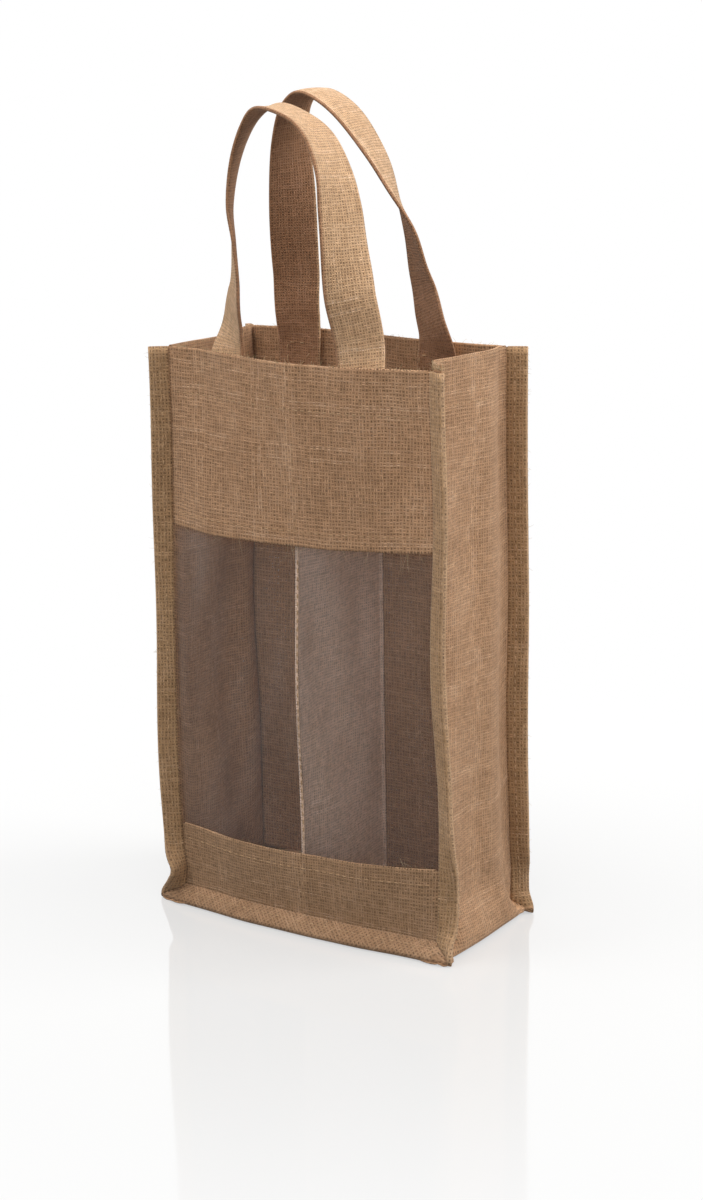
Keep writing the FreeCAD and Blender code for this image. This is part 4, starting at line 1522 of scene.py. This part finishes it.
@dataclass
class Stage:
    """The floor, the light and the camera."""

    azimuth: float = 33.53
    elevation: float = 13.25
    distance: float = 1350.0
    focal_pixels: float = 2135.68
    aside: float = 6.79
    aim_height: float = 205.57
    roll: float = -0.95
    photo_height: int = 1200
    floor_half: float = 30000.0

    def camera(self) -> None:
        """Puts the camera on a sphere round the aim point, turned by its roll."""
        turn, rise, roll = (math.radians(v) for v in (self.azimuth, self.elevation, self.roll))
        back = np.array([math.sin(turn) * math.cos(rise), -math.cos(turn) * math.cos(rise), math.sin(rise)])
        right = np.array([math.cos(turn), math.sin(turn), 0.0])
        up = np.cross(back, right)
        right, up = right * math.cos(roll) + up * math.sin(roll), up * math.cos(roll) - right * math.sin(roll)
        eye = right * self.aside + np.array([0.0, 0.0, self.aim_height]) + back * self.distance
        data = bpy.data.cameras.new("camera")
        data.sensor_fit, data.sensor_width = "AUTO", 36.0
        data.lens = self.focal_pixels * data.sensor_width / self.photo_height
        data.clip_start, data.clip_end = 0.05, 100.0
        made = bpy.data.objects.new("camera", data)
        placed = np.eye(4)
        placed[:3, :4] = np.stack([right, up, back, eye * MM], axis=-1)
        made.matrix_world = Matrix(placed.tolist())
        bpy.context.scene.collection.objects.link(made)
        bpy.context.scene.camera = made

    def light(self) -> None:
        """A dim room with large soft lamps: overhead, right and a little behind, left, front, and low at the right."""
        for name, place, size, power in (
            ("overhead", (0.0, -0.3, 2.4), 2.0, 46.0),
            ("right", (1.64, 0.70, 1.46), 1.3, 36.0),
            ("left", (-1.35, -1.13, 1.68), 1.5, 16.0),
            ("front", (-0.3, -1.57, 1.75), 1.5, 5.0),
            ("low_right", (1.15, -1.35, 0.80), 1.5, 6.3),
        ):
            data = bpy.data.lights.new(name, "AREA")
            data.size, data.energy = size, power
            made = bpy.data.objects.new(name, data)
            made.location = place
            made.visible_glossy = False
            aim = np.array([0.0, 0.0, 0.25]) - np.array(place)
            made.rotation_mode = "QUATERNION"
            made.rotation_quaternion = Vector(aim).to_track_quat("-Z", "Y")
            bpy.context.scene.collection.objects.link(made)
        world = bpy.data.worlds.new("room")
        world.use_nodes = True
        tree = world.node_tree
        tree.nodes.clear()
        strength = add(tree, "MapRange", {"Value": self.direct_rays(tree), "To Min": 0.07, "To Max": 1.0})
        shine = add(tree, "Background", {"Color": WHITE, "Strength": strength})
        add(tree, "OutputWorld", {"Surface": shine})
        bpy.context.scene.world = world

    def direct_rays(self, tree: Tree) -> Socket:
        """Adds nodes that tell rays that are seen from rays that only light.

        Args:
            tree: tree that takes the nodes.

        Returns:
            An output that is 1 for a ray from the camera, straight or by way of gloss or film, and 0 for others.
        """
        rays = add(tree, "LightPath").node.outputs
        seen = rays["Is Camera Ray"]
        for name in ("Is Glossy Ray", "Is Transmission Ray"):
            seen = add(tree, "Math", {0: seen, 1: rays[name]}, operation="MAXIMUM")
        return seen

    def floor(self) -> None:
        """A wide pale floor with a soft sheen, which turns into plain white far from the bag."""
        corners = self.floor_half * np.array([[-1.0, -1.0, 0.0], [1.0, -1.0, 0.0], [1.0, 1.0, 0.0], [-1.0, 1.0, 0.0]])
        piece = mesh_object("floor", corners, [[0, 1, 2, 3]], corners[:, :2])
        material, tree = new_tree("white_acrylic_floor")
        place = add(tree, "TexCoord", out="Object")
        far = add(tree, "VectorMath", {0: place}, "Value", operation="LENGTH")
        near_far = {"Value": far, "From Min": 0.16, "From Max": 0.6}
        fade = add(tree, "MapRange", near_far, interpolation_type="SMOOTHSTEP")
        # The polish is uneven over about 17 mm.
        speck = add(tree, "TexNoise", {"Vector": place, "Scale": 60.0, "Detail": 2.0})
        seen = self.direct_rays(tree)
        acrylic = {
            "Base Color": linear("#858584"),
            "Roughness": add(tree, "MapRange", {"Value": speck, "To Min": 0.03, "To Max": 0.09}),
            "IOR": 1.6,
            "Emission Color": WHITE,
            "Emission Strength": add(tree, "Math", {0: seen, 1: 0.55}, operation="MULTIPLY"),
        }
        near = add(tree, "BsdfPrincipled", acrylic)
        white = add(tree, "Emission", {"Color": WHITE, "Strength": 1.0})
        share = add(tree, "Math", {0: fade, 1: seen}, operation="MULTIPLY")
        surface = add(tree, "MixShader", {0: share, 1: near, 2: white})
        add(tree, "OutputMaterial", {"Surface": surface})
        piece.data.materials.append(material)

    def build(self) -> None:
        """Makes the camera, the light and the floor."""
        self.camera()
        self.light()
        self.floor()
        bpy.context.scene.view_settings.view_transform = "Standard"


def main() -> None:
    """Builds the carrier piece by piece."""
    logging.basicConfig(level=logging.INFO, format="%(message)s")
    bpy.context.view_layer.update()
    Stage().build()
    finishes = Finishes()
    Panels(finishes).build()
    Gusset(finishes).build()
    Divider(finishes).build()
    Bindings(finishes).build()
    Handle(finishes, Face.FRONT, fold_y=-47.905, lean=4.0, slope=0.08, stations=FRONT_STATIONS).build()
    Handle(finishes, Face.BACK, fold_y=44.274, lean=8.0, slope=0.03, stations=BACK_STATIONS).build()
    Stitching(finishes).build()
    LooseFibres(finishes).build()


if __name__ == "__main__":
    main()
